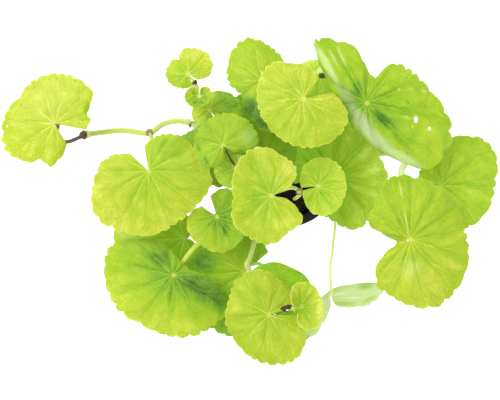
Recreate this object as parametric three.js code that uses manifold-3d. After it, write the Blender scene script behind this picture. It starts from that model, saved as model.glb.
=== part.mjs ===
// Brazilian pennywort (Hydrocotyle leucocephala), a leafy creeping plant in a small round nursery pot.
// Millimetres, +Z up. The origin is the centre of the pot's base, on the surface that the pot stands on.
// Each leaf is a blade and a petiole (its stalk). Most leaves rise from the crown in the pot. The others
// sit on three runners, which creep away from the pot, and on two short shoots.
import * as THREE from 'three';
import { mergeVertices } from 'three/addons/utils/BufferGeometryUtils.js';
import Module from 'manifold-3d';

const wasm = await Module();
wasm.setup();

// Pot: a tapered cup with a flat rim flange and a foot that stands on the floor.
const POT_HEIGHT = 50;
const POT_BASE_RADIUS = 19;
const POT_NECK_RADIUS = 24;
const RIM_RADIUS = 27.5;
const RIM_DEPTH = 4;
const RIM_CHAMFER = 0.6;
const WALL = 1.2;
const POT_SIDES = 24;

// Growing medium: fills the pot to a little below the rim.
const MEDIUM_TOP = 46.5;
const MEDIUM_EDGE_DROP = 1.5;
const MEDIUM_EDGE_WIDTH = 2;

// Pieces that touch on the real plant are this far apart, and petioles this far from the node they leave.
const GAP = 0.4;
const NODE_GAP = 0.7;

// Leaf blades: as thick as this up to the middle ring, then thinning to nothing at the toothed margin.
// The hub disc is a radius in millimetres, and the other rings are shares of the reach.
const BLADE_THICKNESS = 0.8;
const HUB_DISC = 1.5;
const MIDDLE_RING = 0.55;
const TOOTH_TIP = 1.035;
const TOOTH_NOTCH = 0.985;

// A blade with a sharp fold has its middle rings here, close enough together to follow the fold.
const FOLD_RINGS = [0.3, 0.5, 0.72];
const SHARP_FOLD = 45;

// Holes bitten in a blade: each is cut by an upright prism of this height and number of sides.
const HOLE_DEPTH = 40;
const HOLE_SIDES = 5;

// Petioles and stems: round stalks with few sides. A stalk rises straight for this far before it bends.
const PETIOLE_RADIUS = 1;
const PETIOLE_SIDES = 6;
const PETIOLE_STEPS = 6;
const STEM_SIDES = 6;
const RISE = 5;

// A node swells over this length each way. The evenly spaced rings keep clear of it.
const SWELLING_HALF = 2.4;
const SWELLING_CLEAR = 3.6;
const RING_SPACING_LEAST = 0.3;
const ROUTE_DIVISIONS = 400;

const MERGE_WITHIN = 1e-4;
const LEAF_ROUGHNESS = 0.5;
const POT_ROUGHNESS = 0.45;
const MEDIUM_ROUGHNESS = 0.95;

const COLOURS = {
  lime: '#b7d736', yellowLime: '#cfe256', green: '#8fbf2e', shade: '#5c8a27', pale: '#dcecae',
  petiole: '#b4cf55', yellowStalk: '#dde070', brown: '#6e4f2a', runner: '#b3c135',
  pot: '#15151a', medium: '#2b1b15',
};

// The stems. A stem rises from the growing medium at root, or starts at its first point, and runs on
// through its points. A node is a swelling of the given radius at one of them.
const STEMS = {
  runner_left: {
    radius: 1.4, colour: 'runner', steps: 15, root: [-15, 8.5],
    route: [[-19, 12, 53], [-29, 19.5, 58], [-47, 24.5, 54], [-53, 26.5, 50],
      [-62.5, 25.5, 41], [-70, 21.3, 33], [-86, 23, 18], [-105.4, 21.6, 3.2]],
    nodes: { J3: [2, 2.1], J2: [5, 2.1], J1: [7, 2.2] },
  },
  shoot_upper_left: {
    radius: 0.9, colour: 'petiole', steps: 6,
    route: [[-46.4, 27.4, 55.4], [-44.8, 32, 60], [-43.8, 37.5, 66], [-44.9, 42.3, 71.5], [-45.4, 44.9, 75]],
    nodes: { bulb: [3, 1.9], tip: [4, 1.3] },
  },
  runner_front: {
    radius: 1.2, colour: 'petiole', steps: 14, root: [-8, -14],
    route: [[-12.5, -23, 55], [-15.6, -33.7, 62], [-18.3, -43.1, 65], [-19.6, -46.2, 65],
      [-18, -49.5, 64], [-12, -59, 64], [-8.4, -64.2, 71], [-4.6, -65.8, 78], [0, -67.2, 79.5]],
    nodes: { elbow: [3, 1.6], front: [8, 2] },
  },
  runner_right: {
    radius: 1.3, colour: 'yellowStalk', steps: 10, root: [15.5, 4.5],
    route: [[20, 5.5, 53], [29.6, 7, 60], [47.8, 9.8, 64], [61.1, 8.2, 66]],
    nodes: { mid: [2, 1.8], right: [3, 2.2] },
  },
  shoot_crown: {
    radius: 0.9, colour: 'yellowStalk', steps: 8, root: [4.5, -13],
    route: [[5, -12.5, 72], [6, -9.8, 92], [3, -7.8, 95], [-0.8, -8.2, 96]],
    nodes: { crown: [1, 1.9] },
  },
};

// The leaves. Seen from above: hub [x, y, height], notch [direction, half its width] in degrees, and
// reach, the distance from hub to margin at even steps from one side of the notch round to the other.
// lean [direction it drops toward, degrees], cup (how far the margin stands above the hub)
// and ripple [waves, height] give the form. fold [direction, half length, radius, degrees, edge] turns the
// blade down along a line across that direction, or up where the degrees are negative; edge is how far
// the fold stands out from the hub, at even steps along the line. Each hole is [x, y, width, length].
// stalk: the petiole's own points on the way from the crown or from the named node of a stem.
const LEAVES = {
  far_left: {
    hub: [-119, 25.8, 36], notch: [-36, 25], teeth: 22, colour: 'yellowLime', lean: [170, 12], cup: -3,
    reach: [16.5, 19.5, 22.5, 25.5, 26, 26, 25.5, 24.5, 27, 29, 29.5, 24.5, 21.5, 18.5, 12],
    ripple: [4, 1], from: 'J1', stalk: [[-115.1, 16.9, 20], [-119.8, 18.6, 27]], stalkColour: 'brown',
  },
  left: {
    hub: [-67.5, 0.5, 84], notch: [119.5, 18.5], teeth: 26, colour: 'yellowLime', lean: [215, 12], cup: -4,
    reach: [13, 22.5, 28.5, 34.5, 33, 31.5, 28.5, 29, 31, 25.5, 23, 18, 13],
    ripple: [5, 1], from: 'J2', stalk: [[-67.6, 14.6, 48], [-66, 5, 70]],
  },
  tip_small: {
    hub: [-48.4, 47.9, 84], notch: [-48, 17], teeth: 16, colour: 'lime', lean: [120, 14], cup: -2,
    reach: [5.5, 11, 13.5, 13.5, 12.5, 9.5, 11, 10.5, 8.5, 7, 6],
    ripple: [3, 0.5], from: 'tip', stalk: [], radius: 0.6,
  },
  tip_tiny: {
    hub: [-42.4, 36.2, 98], notch: [90, 16], teeth: 12, colour: 'lime', lean: [270, 4], cup: 1.5,
    reach: [3.5, 6, 7, 6.5, 5.5, 5.5, 5.5, 6, 4],
    ripple: [3, 0.3], from: 'bulb', stalk: [[-43, 38, 84]], radius: 0.6,
  },
  shaded_upper: {
    hub: [-37.8, 30.1, 86], notch: [-55, 4], teeth: 20, colour: 'green', lean: [80, 6], cup: -1.5,
    reach: [22, 20, 15, 11.5, 8.5, 7.5, 8, 9, 9, 11, 9],
    ripple: [4, 0.6], from: 'J3', stalk: [[-45, 22.6, 66]],
  },
  upper_left: {
    hub: [-31, 12.2, 100], notch: [-57, 27], teeth: 20, colour: 'lime', lean: [150, 6], cup: -1.5,
    reach: [6, 16, 17, 16.5, 15.5, 14.5, 14, 14, 14, 11.5, 6],
    ripple: [4, 0.6], from: [-12, -1], radius: 0.8, stalkColour: 'brown',
    stalk: [[-12.6, -2, 82], [-18, -1.5, 91.5], [-25.2, 3, 94.5], [-28.6, 8, 97]],
  },
  inner_left: {
    hub: [-24.9, 2.3, 86], notch: [122, 17], teeth: 16, colour: 'green', lean: [230, 8], cup: -0.5,
    reach: [6, 10.5, 11, 10.5, 9, 7.5, 6.5, 6.5, 6], ripple: [3, 0.4],
    from: [-17, 1], stalk: [[-19.2, 1.2, 70]],
  },
  centre: {
    hub: [-8, -11.7, 112], notch: [5, 14], teeth: 26, colour: 'lime', lean: [180, 6], cup: -1,
    reach: [8.5, 17, 19.5, 23.5, 23, 20, 18.5, 22.5, 22, 23, 19, 18, 7],
    ripple: [4, 0.8], fold: [180, 25, 10, -24, [16.5, 16.5]], from: [-4, -6], stalk: [[-5, -8, 80]],
  },
  small_round: {
    hub: [14.4, -7.2, 104], notch: [190, 5], teeth: 20, colour: 'green', lean: [330, 5], cup: 2,
    reach: [7.5, 10, 13.5, 14.5, 13.5, 13.5, 14, 14, 12.5, 10, 8],
    ripple: [4, 0.4], from: [11, -4.5], stalk: [[12, -5.5, 78]],
  },
  top_bright: {
    hub: [7, 33.7, 118], notch: [33, 20], teeth: 26, colour: 'yellowLime', lean: [95, 8], cup: -3,
    reach: [12, 16, 18, 22.5, 22.5, 21.5, 21, 21.5, 22.5, 23.5, 23.5, 20, 14.5],
    ripple: [5, 0.8], from: [4.2, 12.5], radius: 1.1,
    stalk: [[4.6, 22, 61], [5.2, 30.5, 72], [6.6, 32.6, 100]],
  },
  back: {
    hub: [-11.7, 44.9, 82], notch: [0, 12], teeth: 22, colour: 'lime', lean: [100, 14], cup: -2.5,
    reach: [15, 14.5, 17.5, 22.5, 20, 17, 13, 17.5, 26, 19, 14],
    ripple: [4, 0.8], from: [-4.4, 17.5], stalk: [[-6, 24, 58], [-10, 36, 68]],
  },
  back_hidden: {
    hub: [17, 47.6, 80], notch: [-75, 1.5], teeth: 18, colour: 'green', lean: [90, 6], cup: -1,
    reach: [15, 15, 13, 11, 9, 8, 10.5, 13, 14, 15, 15],
    ripple: [4, 0.6], from: [9, 15.5], stalk: [[12, 22, 58], [16, 36, 66]],
  },
  largest: {
    hub: [37.1, 32.2, 110], notch: [71, 1.5], teeth: 28, colour: 'green', lean: [0, 11], cup: -3,
    reach: [13, 15.5, 26, 33.5, 38, 38, 37, 34, 32, 30, 29, 28, 28, 29, 31.5, 36, 42, 44.5,
      43.7, 38.2, 32, 28, 26, 23, 13],
    ripple: [5, 1.2], fold: [221, 40, 6, 100, [4.5, 8.5, 11.5, 11.8, 3.5]],
    holes: [[60.8, 24.4, 1.6, 2.8], [67.6, 20.3, 1, 1.4]],
    from: 'mid', stalk: [[49, 17, 74], [43, 28, 94]], radius: 1.2,
  },
  far_right: {
    hub: [74.6, -6.7, 86], notch: [215, 14], teeth: 24, colour: 'green', lean: [10, 17], cup: -3,
    reach: [11.5, 16, 23.5, 27, 28.5, 33, 26, 15.5, 13, 11, 10.5],
    ripple: [4, 1], from: 'right', stalk: [[70, 5, 70], [74, -3, 79]], radius: 1.2,
  },
  lower_right: {
    hub: [58.6, -32.6, 104], notch: [187, 1.5], teeth: 28, colour: 'lime', lean: [310, 11], cup: -4,
    reach: [6.8, 8.8, 19, 26, 28, 30.5, 33, 35, 34, 32.5, 30.5, 28.5, 27, 27, 28, 28.6, 28.8, 29.5,
      30.8, 30.6, 26.4, 23.4, 22, 12.5, 6.8],
    ripple: [5, 1.2], from: 'right', stalk: [[57, 1, 73], [56.4, -12, 86], [57.8, -26, 94]], radius: 1.7,
    stalkColour: 'yellowStalk',
  },
  broad_inner: {
    hub: [22.5, -2.5, 84], notch: [200, 10], teeth: 28, colour: 'green', lean: [0, 6], cup: -2,
    reach: [16.5, 17.5, 20.5, 28, 25.5, 27.5, 25.5, 27, 27.5, 25.5, 23, 19.5, 19.3],
    ripple: [5, 1], from: [18, -2.5], stalk: [[20, -2.5, 66]], radius: 1.2,
  },
  front: {
    hub: [-8.8, -69.7, 84], notch: [8, 9], teeth: 26, colour: 'lime', lean: [265, 12], cup: -3,
    reach: [10.5, 14.5, 17.5, 22.5, 23, 21, 21.5, 21, 23, 25, 26, 20.5, 12],
    ripple: [5, 0.8], from: 'front', stalk: [[-5.4, -71.6, 79]],
  },
  front_small: {
    hub: [6.9, -65.2, 94], notch: [222, 12], teeth: 16, colour: 'lime', lean: [20, 10], cup: 3,
    reach: [4, 9.5, 12.5, 11, 10, 11, 12, 11, 7, 4.5, 4.5],
    ripple: [3, 0.4], from: 'front', stalk: [[4.5, -66.5, 86]], radius: 0.8,
  },
  front_under: {
    hub: [-0.5, -58.9, 73], notch: [215, 15], teeth: 14, colour: 'shade', lean: [60, 10], cup: -1.5,
    reach: [11, 15, 14, 13.5, 12.5, 12, 16, 19.5, 13],
    ripple: [3, 0.5], from: 'elbow', stalk: [[-14, -45.5, 62], [-7, -51, 62]], radius: 0.8,
  },
  hanging: {
    hub: [23.1, -61.6, 40], notch: [-77, 9], teeth: 28, colour: 'pale', lean: [300, 16], cup: -3,
    reach: [6, 9, 12, 17, 24, 28, 27.5, 26, 25, 24, 23, 22, 22, 22, 22, 23, 24, 25, 26, 27, 27.5,
      27.5, 26, 15, 7],
    ripple: [2, 0.4], fold: [123, 28, 2.5, 92, [-9, -3, 0.8, -3.4, -10]],
    from: [14.5, -12.5], radius: 0.6, stalkColour: 'yellowStalk', hangs: true,
    stalk: [[19, -16.5, 55.5], [24.3, -21.6, 58], [24, -36.6, 53], [22.9, -50.1, 45]],
  },
  lower_left: {
    hub: [-56, -51.1, 68], notch: [54, 1.5], teeth: 30, colour: 'green', lean: [230, 12], cup: -3,
    reach: [6.8, 8.5, 11.5, 18.5, 25.5, 34.5, 35.5, 34.5, 33, 30.5, 30.5, 31.5, 32, 32, 32, 19.5, 9.5,
      7.5, 6.8],
    ripple: [5, 1], from: [-12.7, -12.7], radius: 1.2,
    stalk: [[-18, -17, 56], [-32, -27, 61], [-43.7, -35.3, 63], [-52, -45, 63]],
  },
  lower_left_under: {
    hub: [-51.5, -33.1, 50], notch: [5, 14], teeth: 20, colour: 'shade', lean: [180, 6], cup: -1.5,
    reach: [3, 6.5, 12.5, 22, 32.5, 36.5, 32, 22, 14, 9.5, 3],
    ripple: [4, 0.6], from: [-16.5, -7.5], stalk: [[-23, -11, 55.5], [-36, -22, 55], [-48, -30, 47]],
  },
  lower_middle: {
    hub: [-20.9, -49.9, 57], notch: [5, 34], teeth: 20, colour: 'shade', lean: [250, 5], cup: -1.5,
    reach: [15.5, 18, 20, 22.5, 26, 30, 31, 31, 32.5, 33.5, 27, 14, 9],
    ripple: [4, 0.8], from: [-3.6, -17.6], stalk: [[-8, -26, 53.5], [-16, -40, 50.5]],
  },
  cupped: {
    hub: [-34.3, -22.1, 76], notch: [126, 18], teeth: 20, colour: 'green', lean: [250, 8], cup: 2,
    reach: [9.5, 14, 16, 16, 17.5, 17, 15.5, 15.5, 15.5, 14.5, 11],
    ripple: [4, 0.6], from: [-9.5, -4.5], stalk: [[-20, -11, 58], [-30, -19, 66]],
  },
  dark_left: {
    hub: [-40.5, 6.2, 70], notch: [225, 12], teeth: 16, colour: 'shade', lean: [200, 6], cup: -1,
    reach: [8, 10.5, 16, 18, 16.5, 16.5, 16, 16, 16.5, 12.5, 11],
    ripple: [4, 0.6], from: [-18.8, -3.2], stalk: [[-27, -0.5, 58]],
  },
  dark_middle: {
    hub: [-12.2, 6.1, 72], notch: [-90, 12], teeth: 16, colour: 'shade', lean: [90, 6], cup: -1.5,
    reach: [12, 13, 14, 17, 20, 21.5, 22, 22.5, 25, 34, 22, 14, 11, 8.5, 7, 7, 8],
    ripple: [4, 0.6], from: [-8, 7.5], stalk: [[-9.5, 6.9, 60]],
  },
};

// Where the nodes of the stems are: name -> centre and radius.
const NODES = {};
for (const stem of Object.values(STEMS)) {
  for (const [name, [index, radius]] of Object.entries(stem.nodes)) {
    NODES[name] = { centre: new THREE.Vector3(...stem.route[index]), radius };
  }
}

const plant = new THREE.Group();
const radians = THREE.MathUtils.degToRad;

function add(name, geometry, colour, roughness = LEAF_ROUGHNESS) {
  geometry.computeVertexNormals();
  const material = new THREE.MeshStandardMaterial({ color: COLOURS[colour], roughness, metalness: 0 });
  const mesh = new THREE.Mesh(geometry, material);
  mesh.name = name;
  plant.add(mesh);
}

// A three.js geometry as a solid for joining, and back.
function toSolid(geometry) {
  const bare = geometry.clone();
  bare.deleteAttribute('normal');
  bare.deleteAttribute('uv');
  const merged = mergeVertices(bare, MERGE_WITHIN);
  const vertProperties = new Float32Array(merged.attributes.position.array);
  return new wasm.Manifold(new wasm.Mesh({
    numProp: 3, vertProperties, triVerts: new Uint32Array(merged.index.array),
  }));
}

function toGeometry(solid) {
  const mesh = solid.getMesh();
  const geometry = new THREE.BufferGeometry();
  geometry.setAttribute('position', new THREE.BufferAttribute(new Float32Array(mesh.vertProperties), 3));
  geometry.setIndex(new THREE.BufferAttribute(new Uint32Array(mesh.triVerts), 1));
  return geometry;
}

// A round stalk through the given points.
function stalkTube(points, radius) {
  const section = new THREE.Shape();
  for (let i = 0; i < PETIOLE_SIDES; i += 1) {
    const angle = (i / PETIOLE_SIDES) * 2 * Math.PI;
    const corner = [radius * Math.cos(angle), radius * Math.sin(angle)];
    if (i === 0) section.moveTo(...corner);
    else section.lineTo(...corner);
  }
  const route = new THREE.CatmullRomCurve3(points, false, 'centripetal');
  const settings = { extrudePath: route, steps: PETIOLE_STEPS, bevelEnabled: false };
  return new THREE.ExtrudeGeometry(section, settings);
}

// A number read off a list at share 0 to 1 of its length, smoothly.
function smoothAt(values, share) {
  const place = share * (values.length - 1);
  const i = Math.min(Math.floor(place), values.length - 2);
  const t = place - i;
  const [a, b, c, d] = [values[Math.max(i - 1, 0)], values[i], values[i + 1],
    values[Math.min(i + 2, values.length - 1)]];
  return b + 0.5 * t * (c - a + t * (2 * a - 5 * b + 4 * c - d + t * (3 * (b - c) + d - a)));
}

// A point of a blade after its fold: height is measured from the unfolded blade.
function folded([direction, halfLength, radius, degrees, edge], x, y, height) {
  const [dx, dy] = [Math.cos(radians(direction)), Math.sin(radians(direction))];
  const along = y * dx - x * dy;
  const start = smoothAt(edge, THREE.MathUtils.clamp(0.5 + along / (2 * halfLength), 0, 1)) - radius;
  const beyond = x * dx + y * dy - start;
  if (beyond <= 0) return [x, y, height];
  const down = Math.sign(degrees);
  const bent = Math.min(beyond / radius, radians(Math.abs(degrees)));
  const straight = beyond - bent * radius;
  const out = start + (radius + down * height) * Math.sin(bent) + straight * Math.cos(bent);
  const drop = radius * (1 - Math.cos(bent)) + straight * Math.sin(bent);
  return [out * dx - along * dy, out * dy + along * dx, height * Math.cos(bent) - down * drop];
}

// A blade's surface: a place on it, given by its direction and how far out it is, from 0 to 1.
function bladePoint(leaf, share, out, side) {
  const [notchDirection, notchHalf] = leaf.notch;
  const turn = notchHalf + share * (360 - 2 * notchHalf);
  const angle = radians(notchDirection + turn);
  const along = out * smoothAt(leaf.reach, share);
  const wave = leaf.ripple[1] * Math.sin(leaf.ripple[0] * radians(turn));
  const flat = [
    along * Math.cos(angle),
    along * Math.sin(angle),
    side * BLADE_THICKNESS / 2 + (leaf.cup + wave) * out * out,
  ];
  const [x, y, height] = leaf.fold ? folded(leaf.fold, ...flat) : flat;
  const [leanDirection, lean] = leaf.lean;
  const down = x * Math.cos(radians(leanDirection)) + y * Math.sin(radians(leanDirection));
  const [hx, hy, hz] = leaf.hub;
  return [hx + x, hy + y, hz + height - down * Math.tan(radians(lean))];
}

// A closed blade: an upper and a lower skin of rings round the hub that meet at the margin and the notch.
function bladeGeometry(leaf) {
  const rim = leaf.teeth * 2;
  const hasSharpFold = leaf.fold && leaf.fold[3] > SHARP_FOLD;
  const middle = hasSharpFold ? FOLD_RINGS : [MIDDLE_RING];
  const rings = [[null, rim / 4], ...middle.map((out, i) => [out, i < 2 ? rim / 2 : rim]), [1, rim]];
  const positions = [];
  const place = (point) => positions.push(...point) / 3 - 1;
  const hub = [1, -1].map((side) => place(bladePoint(leaf, 0, 0, side)));
  const rows = rings.map(([out, count]) => {
    const row = [];
    for (let i = 0; i <= count; i += 1) {
      const share = i / count;
      const reach = smoothAt(leaf.reach, share);
      const isNotch = i === 0 || i === count;
      const tooth = i % 2 === 1 ? TOOTH_TIP : TOOTH_NOTCH;
      const where = out === 1 ? tooth : out ?? HUB_DISC / reach;
      if (out === 1 || isNotch) {
        const shared = place(bladePoint(leaf, share, where, 0));
        row.push([shared, shared]);
      } else {
        row.push([1, -1].map((side) => place(bladePoint(leaf, share, where, side))));
      }
    }
    return row;
  });
  const index = [];
  for (const skin of [0, 1]) {
    const face = (a, b, c) => index.push(...(skin === 0 ? [a, b, c] : [a, c, b]));
    const first = rows[0];
    for (let i = 0; i < first.length - 1; i += 1) face(hub[skin], first[i][skin], first[i + 1][skin]);
    face(hub[skin], first.at(-1)[skin], first[0][skin]);
    for (let k = 0; k < rows.length - 1; k += 1) {
      const [inner, outer] = [rows[k], rows[k + 1]];
      const doubled = outer.length > inner.length;
      for (let i = 0; i < inner.length - 1; i += 1) {
        const [a, b] = [inner[i][skin], inner[i + 1][skin]];
        if (doubled) {
          const [p, q, r] = [outer[2 * i][skin], outer[2 * i + 1][skin], outer[2 * i + 2][skin]];
          face(a, p, q);
          face(a, q, b);
          face(b, q, r);
        } else {
          const [p, q] = [outer[i][skin], outer[i + 1][skin]];
          face(a, p, q);
          face(a, q, b);
        }
      }
    }
  }
  const geometry = new THREE.BufferGeometry();
  geometry.setAttribute('position', new THREE.Float32BufferAttribute(positions, 3));
  geometry.setIndex(index);
  return geometry;
}

// The first two points of a stalk that comes straight up out of the growing medium.
function rooted([x, y]) {
  return [MEDIUM_TOP + GAP, MEDIUM_TOP + RISE].map((z) => new THREE.Vector3(x, y, z));
}

// A blade with its holes, each cut right through by a small upright prism.
function piercedBlade(leaf) {
  let solid = toSolid(bladeGeometry(leaf));
  for (const [x, y, width, length] of leaf.holes) {
    const prism = new THREE.CylinderGeometry(0.5, 0.5, HOLE_DEPTH, HOLE_SIDES).rotateX(Math.PI / 2)
      .scale(width, length, 1).translate(x, y, leaf.hub[2]);
    solid = solid.subtract(toSolid(prism));
  }
  return toGeometry(solid);
}

// A petiole: from the growing medium, or from a node of a stem, up to just under its blade's hub.
function petioleGeometry(leaf) {
  const radius = leaf.radius ?? PETIOLE_RADIUS;
  const hub = new THREE.Vector3(...leaf.hub);
  const [leanDirection, lean] = leaf.lean;
  const below = new THREE.Vector3(
    -Math.sin(radians(lean)) * Math.cos(radians(leanDirection)),
    -Math.sin(radians(lean)) * Math.sin(radians(leanDirection)),
    -Math.cos(radians(lean)),
  ).multiplyScalar(leaf.hangs ? -1 : 1);
  const end = hub.clone().addScaledVector(below, BLADE_THICKNESS / 2 + GAP);
  const approach = hub.clone().addScaledVector(below, RISE);
  const via = leaf.stalk.map((point) => new THREE.Vector3(...point));
  let start;
  if (typeof leaf.from === 'string') {
    const { centre, radius: swelling } = NODES[leaf.from];
    const toward = (via[0] ?? approach).clone().sub(centre).normalize();
    start = [swelling + NODE_GAP, swelling + RISE / 2]
      .map((far) => centre.clone().addScaledVector(toward, far));
  } else {
    start = rooted(leaf.from);
  }
  return stalkTube([...start, ...via, approach, end], radius);
}

// A stem with its swollen nodes: rings across its route, closer together at the nodes.
function stemGeometry(stem) {
  const route = stem.route.map((point) => new THREE.Vector3(...point));
  const points = [...(stem.root ? rooted(stem.root) : []), ...route];
  const curve = new THREE.CatmullRomCurve3(points, false, 'centripetal');
  curve.arcLengthDivisions = ROUTE_DIVISIONS;
  const lengths = curve.getLengths();
  const total = lengths.at(-1);
  const swellings = Object.values(stem.nodes).map(([index, radius]) => {
    const share = (index + points.length - route.length) / (points.length - 1);
    return [lengths[Math.round(share * ROUTE_DIVISIONS)], radius];
  });
  const even = Array.from({ length: stem.steps + 1 }, (_, i) => (i / stem.steps) * total)
    .filter((at, i) => i === 0 || i === stem.steps
      || swellings.every(([centre]) => Math.abs(at - centre) > SWELLING_CLEAR));
  const close = swellings.flatMap(([centre]) => [-1, 0, 1].map((k) => centre + k * SWELLING_HALF));
  const stations = [...even, ...close].filter((at) => at >= 0 && at <= total).sort((a, b) => a - b)
    .filter((at, i, all) => i === 0 || at - all[i - 1] > RING_SPACING_LEAST);
  const positions = [];
  const index = [];
  const side = new THREE.Vector3(1, 0, 0);
  stations.forEach((at, k) => {
    const centre = curve.getPointAt(at / total);
    const ahead = curve.getTangentAt(at / total);
    side.addScaledVector(ahead, -side.dot(ahead)).normalize();
    const other = new THREE.Vector3().crossVectors(ahead, side);
    const radius = Math.max(stem.radius, ...swellings.map(([middle, swollen]) => {
      const near = Math.max(0, 1 - Math.abs(at - middle) / SWELLING_HALF);
      return stem.radius + (swollen - stem.radius) * near;
    }));
    for (let i = 0; i < STEM_SIDES; i += 1) {
      const angle = (i / STEM_SIDES) * 2 * Math.PI;
      const corner = centre.clone().addScaledVector(side, radius * Math.cos(angle))
        .addScaledVector(other, radius * Math.sin(angle));
      positions.push(...corner.toArray());
      if (k === 0) continue;
      const [a, b] = [k * STEM_SIDES + i, k * STEM_SIDES + ((i + 1) % STEM_SIDES)];
      index.push(a - STEM_SIDES, b - STEM_SIDES, b, a - STEM_SIDES, b, a);
    }
  });
  const last = (stations.length - 1) * STEM_SIDES;
  for (let i = 1; i < STEM_SIDES - 1; i += 1) {
    index.push(0, i + 1, i, last, last + i, last + i + 1);
  }
  const geometry = new THREE.BufferGeometry();
  geometry.setAttribute('position', new THREE.Float32BufferAttribute(positions, 3));
  geometry.setIndex(index);
  return geometry;
}

function buildPot() {
  const neck = POT_HEIGHT - RIM_DEPTH;
  const inner = POT_NECK_RADIUS - WALL;
  const profile = [
    [0, 0], [POT_BASE_RADIUS, 0], [POT_NECK_RADIUS, neck], [RIM_RADIUS, neck],
    [RIM_RADIUS, POT_HEIGHT - RIM_CHAMFER], [RIM_RADIUS - RIM_CHAMFER, POT_HEIGHT],
    [inner + RIM_CHAMFER, POT_HEIGHT], [inner, POT_HEIGHT - RIM_CHAMFER], [inner, neck],
    [POT_BASE_RADIUS - WALL, WALL], [0, WALL],
  ].map(([r, z]) => new THREE.Vector2(r, z));
  add('pot', new THREE.LatheGeometry(profile, POT_SIDES).rotateX(Math.PI / 2), 'pot', POT_ROUGHNESS);
}

function buildMedium() {
  const neck = POT_HEIGHT - RIM_DEPTH;
  const inner = POT_NECK_RADIUS - WALL - GAP;
  const edge = MEDIUM_TOP - MEDIUM_EDGE_DROP;
  const profile = [
    [0, WALL + GAP], [POT_BASE_RADIUS - WALL - GAP, WALL + GAP],
    [inner - (neck - edge) * (POT_NECK_RADIUS - POT_BASE_RADIUS) / neck - GAP, edge],
    [inner - MEDIUM_EDGE_WIDTH, MEDIUM_TOP], [0, MEDIUM_TOP],
  ].map(([r, z]) => new THREE.Vector2(r, z));
  const geometry = new THREE.LatheGeometry(profile, POT_SIDES).rotateX(Math.PI / 2);
  add('growing_medium', geometry, 'medium', MEDIUM_ROUGHNESS);
}

buildPot();
buildMedium();
for (const [name, stem] of Object.entries(STEMS)) {
  add(name, stemGeometry(stem), stem.colour);
}
for (const [name, leaf] of Object.entries(LEAVES)) {
  add(`blade_${name}`, leaf.holes ? piercedBlade(leaf) : bladeGeometry(leaf), leaf.colour);
  add(`petiole_${name}`, petioleGeometry(leaf), leaf.stalkColour ?? 'petiole');
}

export default plant;
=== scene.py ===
# %% [markdown]
# Brazilian pennywort in its pot
#
# The real thing is a soft creeping plant. Round scalloped leaves stand on thin stalks, and runners with
# swollen nodes creep out over the rim of a small black pot. This script dresses a fixed frame of plain
# solids: it keeps every solid's place and size, and gives it the fine form and finish of the real piece.
# Sizes are in millimetres until a mesh is made, and the frame is in metres.

# %% Load the frame
import math
from functools import partial

import bmesh
import bpy
import numpy as np
from mathutils import Euler, Matrix, Vector


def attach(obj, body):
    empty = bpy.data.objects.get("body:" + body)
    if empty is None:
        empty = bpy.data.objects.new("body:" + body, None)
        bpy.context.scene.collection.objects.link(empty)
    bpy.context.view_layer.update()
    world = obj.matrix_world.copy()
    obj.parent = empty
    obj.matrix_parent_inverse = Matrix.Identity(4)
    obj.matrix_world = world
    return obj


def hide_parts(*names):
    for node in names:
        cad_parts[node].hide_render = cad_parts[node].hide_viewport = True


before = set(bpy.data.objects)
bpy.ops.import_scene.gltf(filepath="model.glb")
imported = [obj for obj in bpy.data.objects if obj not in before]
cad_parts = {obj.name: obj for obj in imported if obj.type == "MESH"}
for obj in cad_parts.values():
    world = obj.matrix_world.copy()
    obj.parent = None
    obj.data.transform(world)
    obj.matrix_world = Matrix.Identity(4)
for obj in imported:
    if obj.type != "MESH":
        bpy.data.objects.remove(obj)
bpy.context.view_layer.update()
MM = 0.001

# %% [markdown]
# Colours and nodes
#
# Sockets take linear light, and a colour picked on a screen is sRGB, so one function turns hex values into
# it. One helper adds a node, sets it up and links it. It fills the sockets that the node editor shows, in
# their order: Map Range takes a value, from min, from max, to min and to max, and Mix takes a factor and two
# colours.

# %% Helpers for colours and nodes
PREFIXES = ("ShaderNode", "GeometryNode", "FunctionNode", "")


def linear(hex_code):
    """An sRGB hex colour as the linear colour that a socket takes."""
    parts = [int(hex_code[i:i + 2], 16) / 255 for i in (1, 3, 5)]
    return tuple(c / 12.92 if c <= 0.04045 else ((c + 0.055) / 1.055) ** 2.4 for c in parts) + (1.0,)


def add_node(tree, kind, *inputs, **named):
    """Adds a node and fills its sockets, in their order or by Capital_Name, with values or with other nodes.

    Names in small letters are its settings. A kind may end in .OPERATION, and a list joins in one socket.
    """
    kind, _, operation = kind.partition(".")
    node = tree.nodes.new(next(prefix + kind for prefix in PREFIXES if hasattr(bpy.types, prefix + kind)))
    if operation:
        node.operation = operation
    for name in filter(str.islower, named):
        setattr(node, name, named[name])
    shown = [socket for socket in node.inputs if socket.enabled]
    by_name = {socket.name.replace(" ", "_"): socket for socket in shown}
    by_name = [(by_name[name], named[name]) for name in named if not name.islower()]
    for socket, value in [*zip(shown, inputs), *by_name]:
        for source in value if isinstance(value, list) else [value]:
            if isinstance(source, bpy.types.Node):
                source = next(output for output in source.outputs if output.enabled)
            if isinstance(source, bpy.types.NodeSocket):
                tree.links.new(source, socket)
            else:
                socket.default_value = source
    return node


def new_tree(name, kind, inputs, outputs={"Geometry": "Geometry"}):
    """A node group with sockets named under their types, a helper that adds its nodes, and its inputs."""
    tree = bpy.data.node_groups.new(name, kind)
    for direction, sockets in (("INPUT", inputs), ("OUTPUT", outputs)):
        for socket_type, names in sockets.items():
            for socket in names.split(", "):
                tree.interface.new_socket(socket, in_out=direction, socket_type="NodeSocket" + socket_type)
    add = partial(add_node, tree)
    return tree, add, add("NodeGroupInput").outputs


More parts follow.
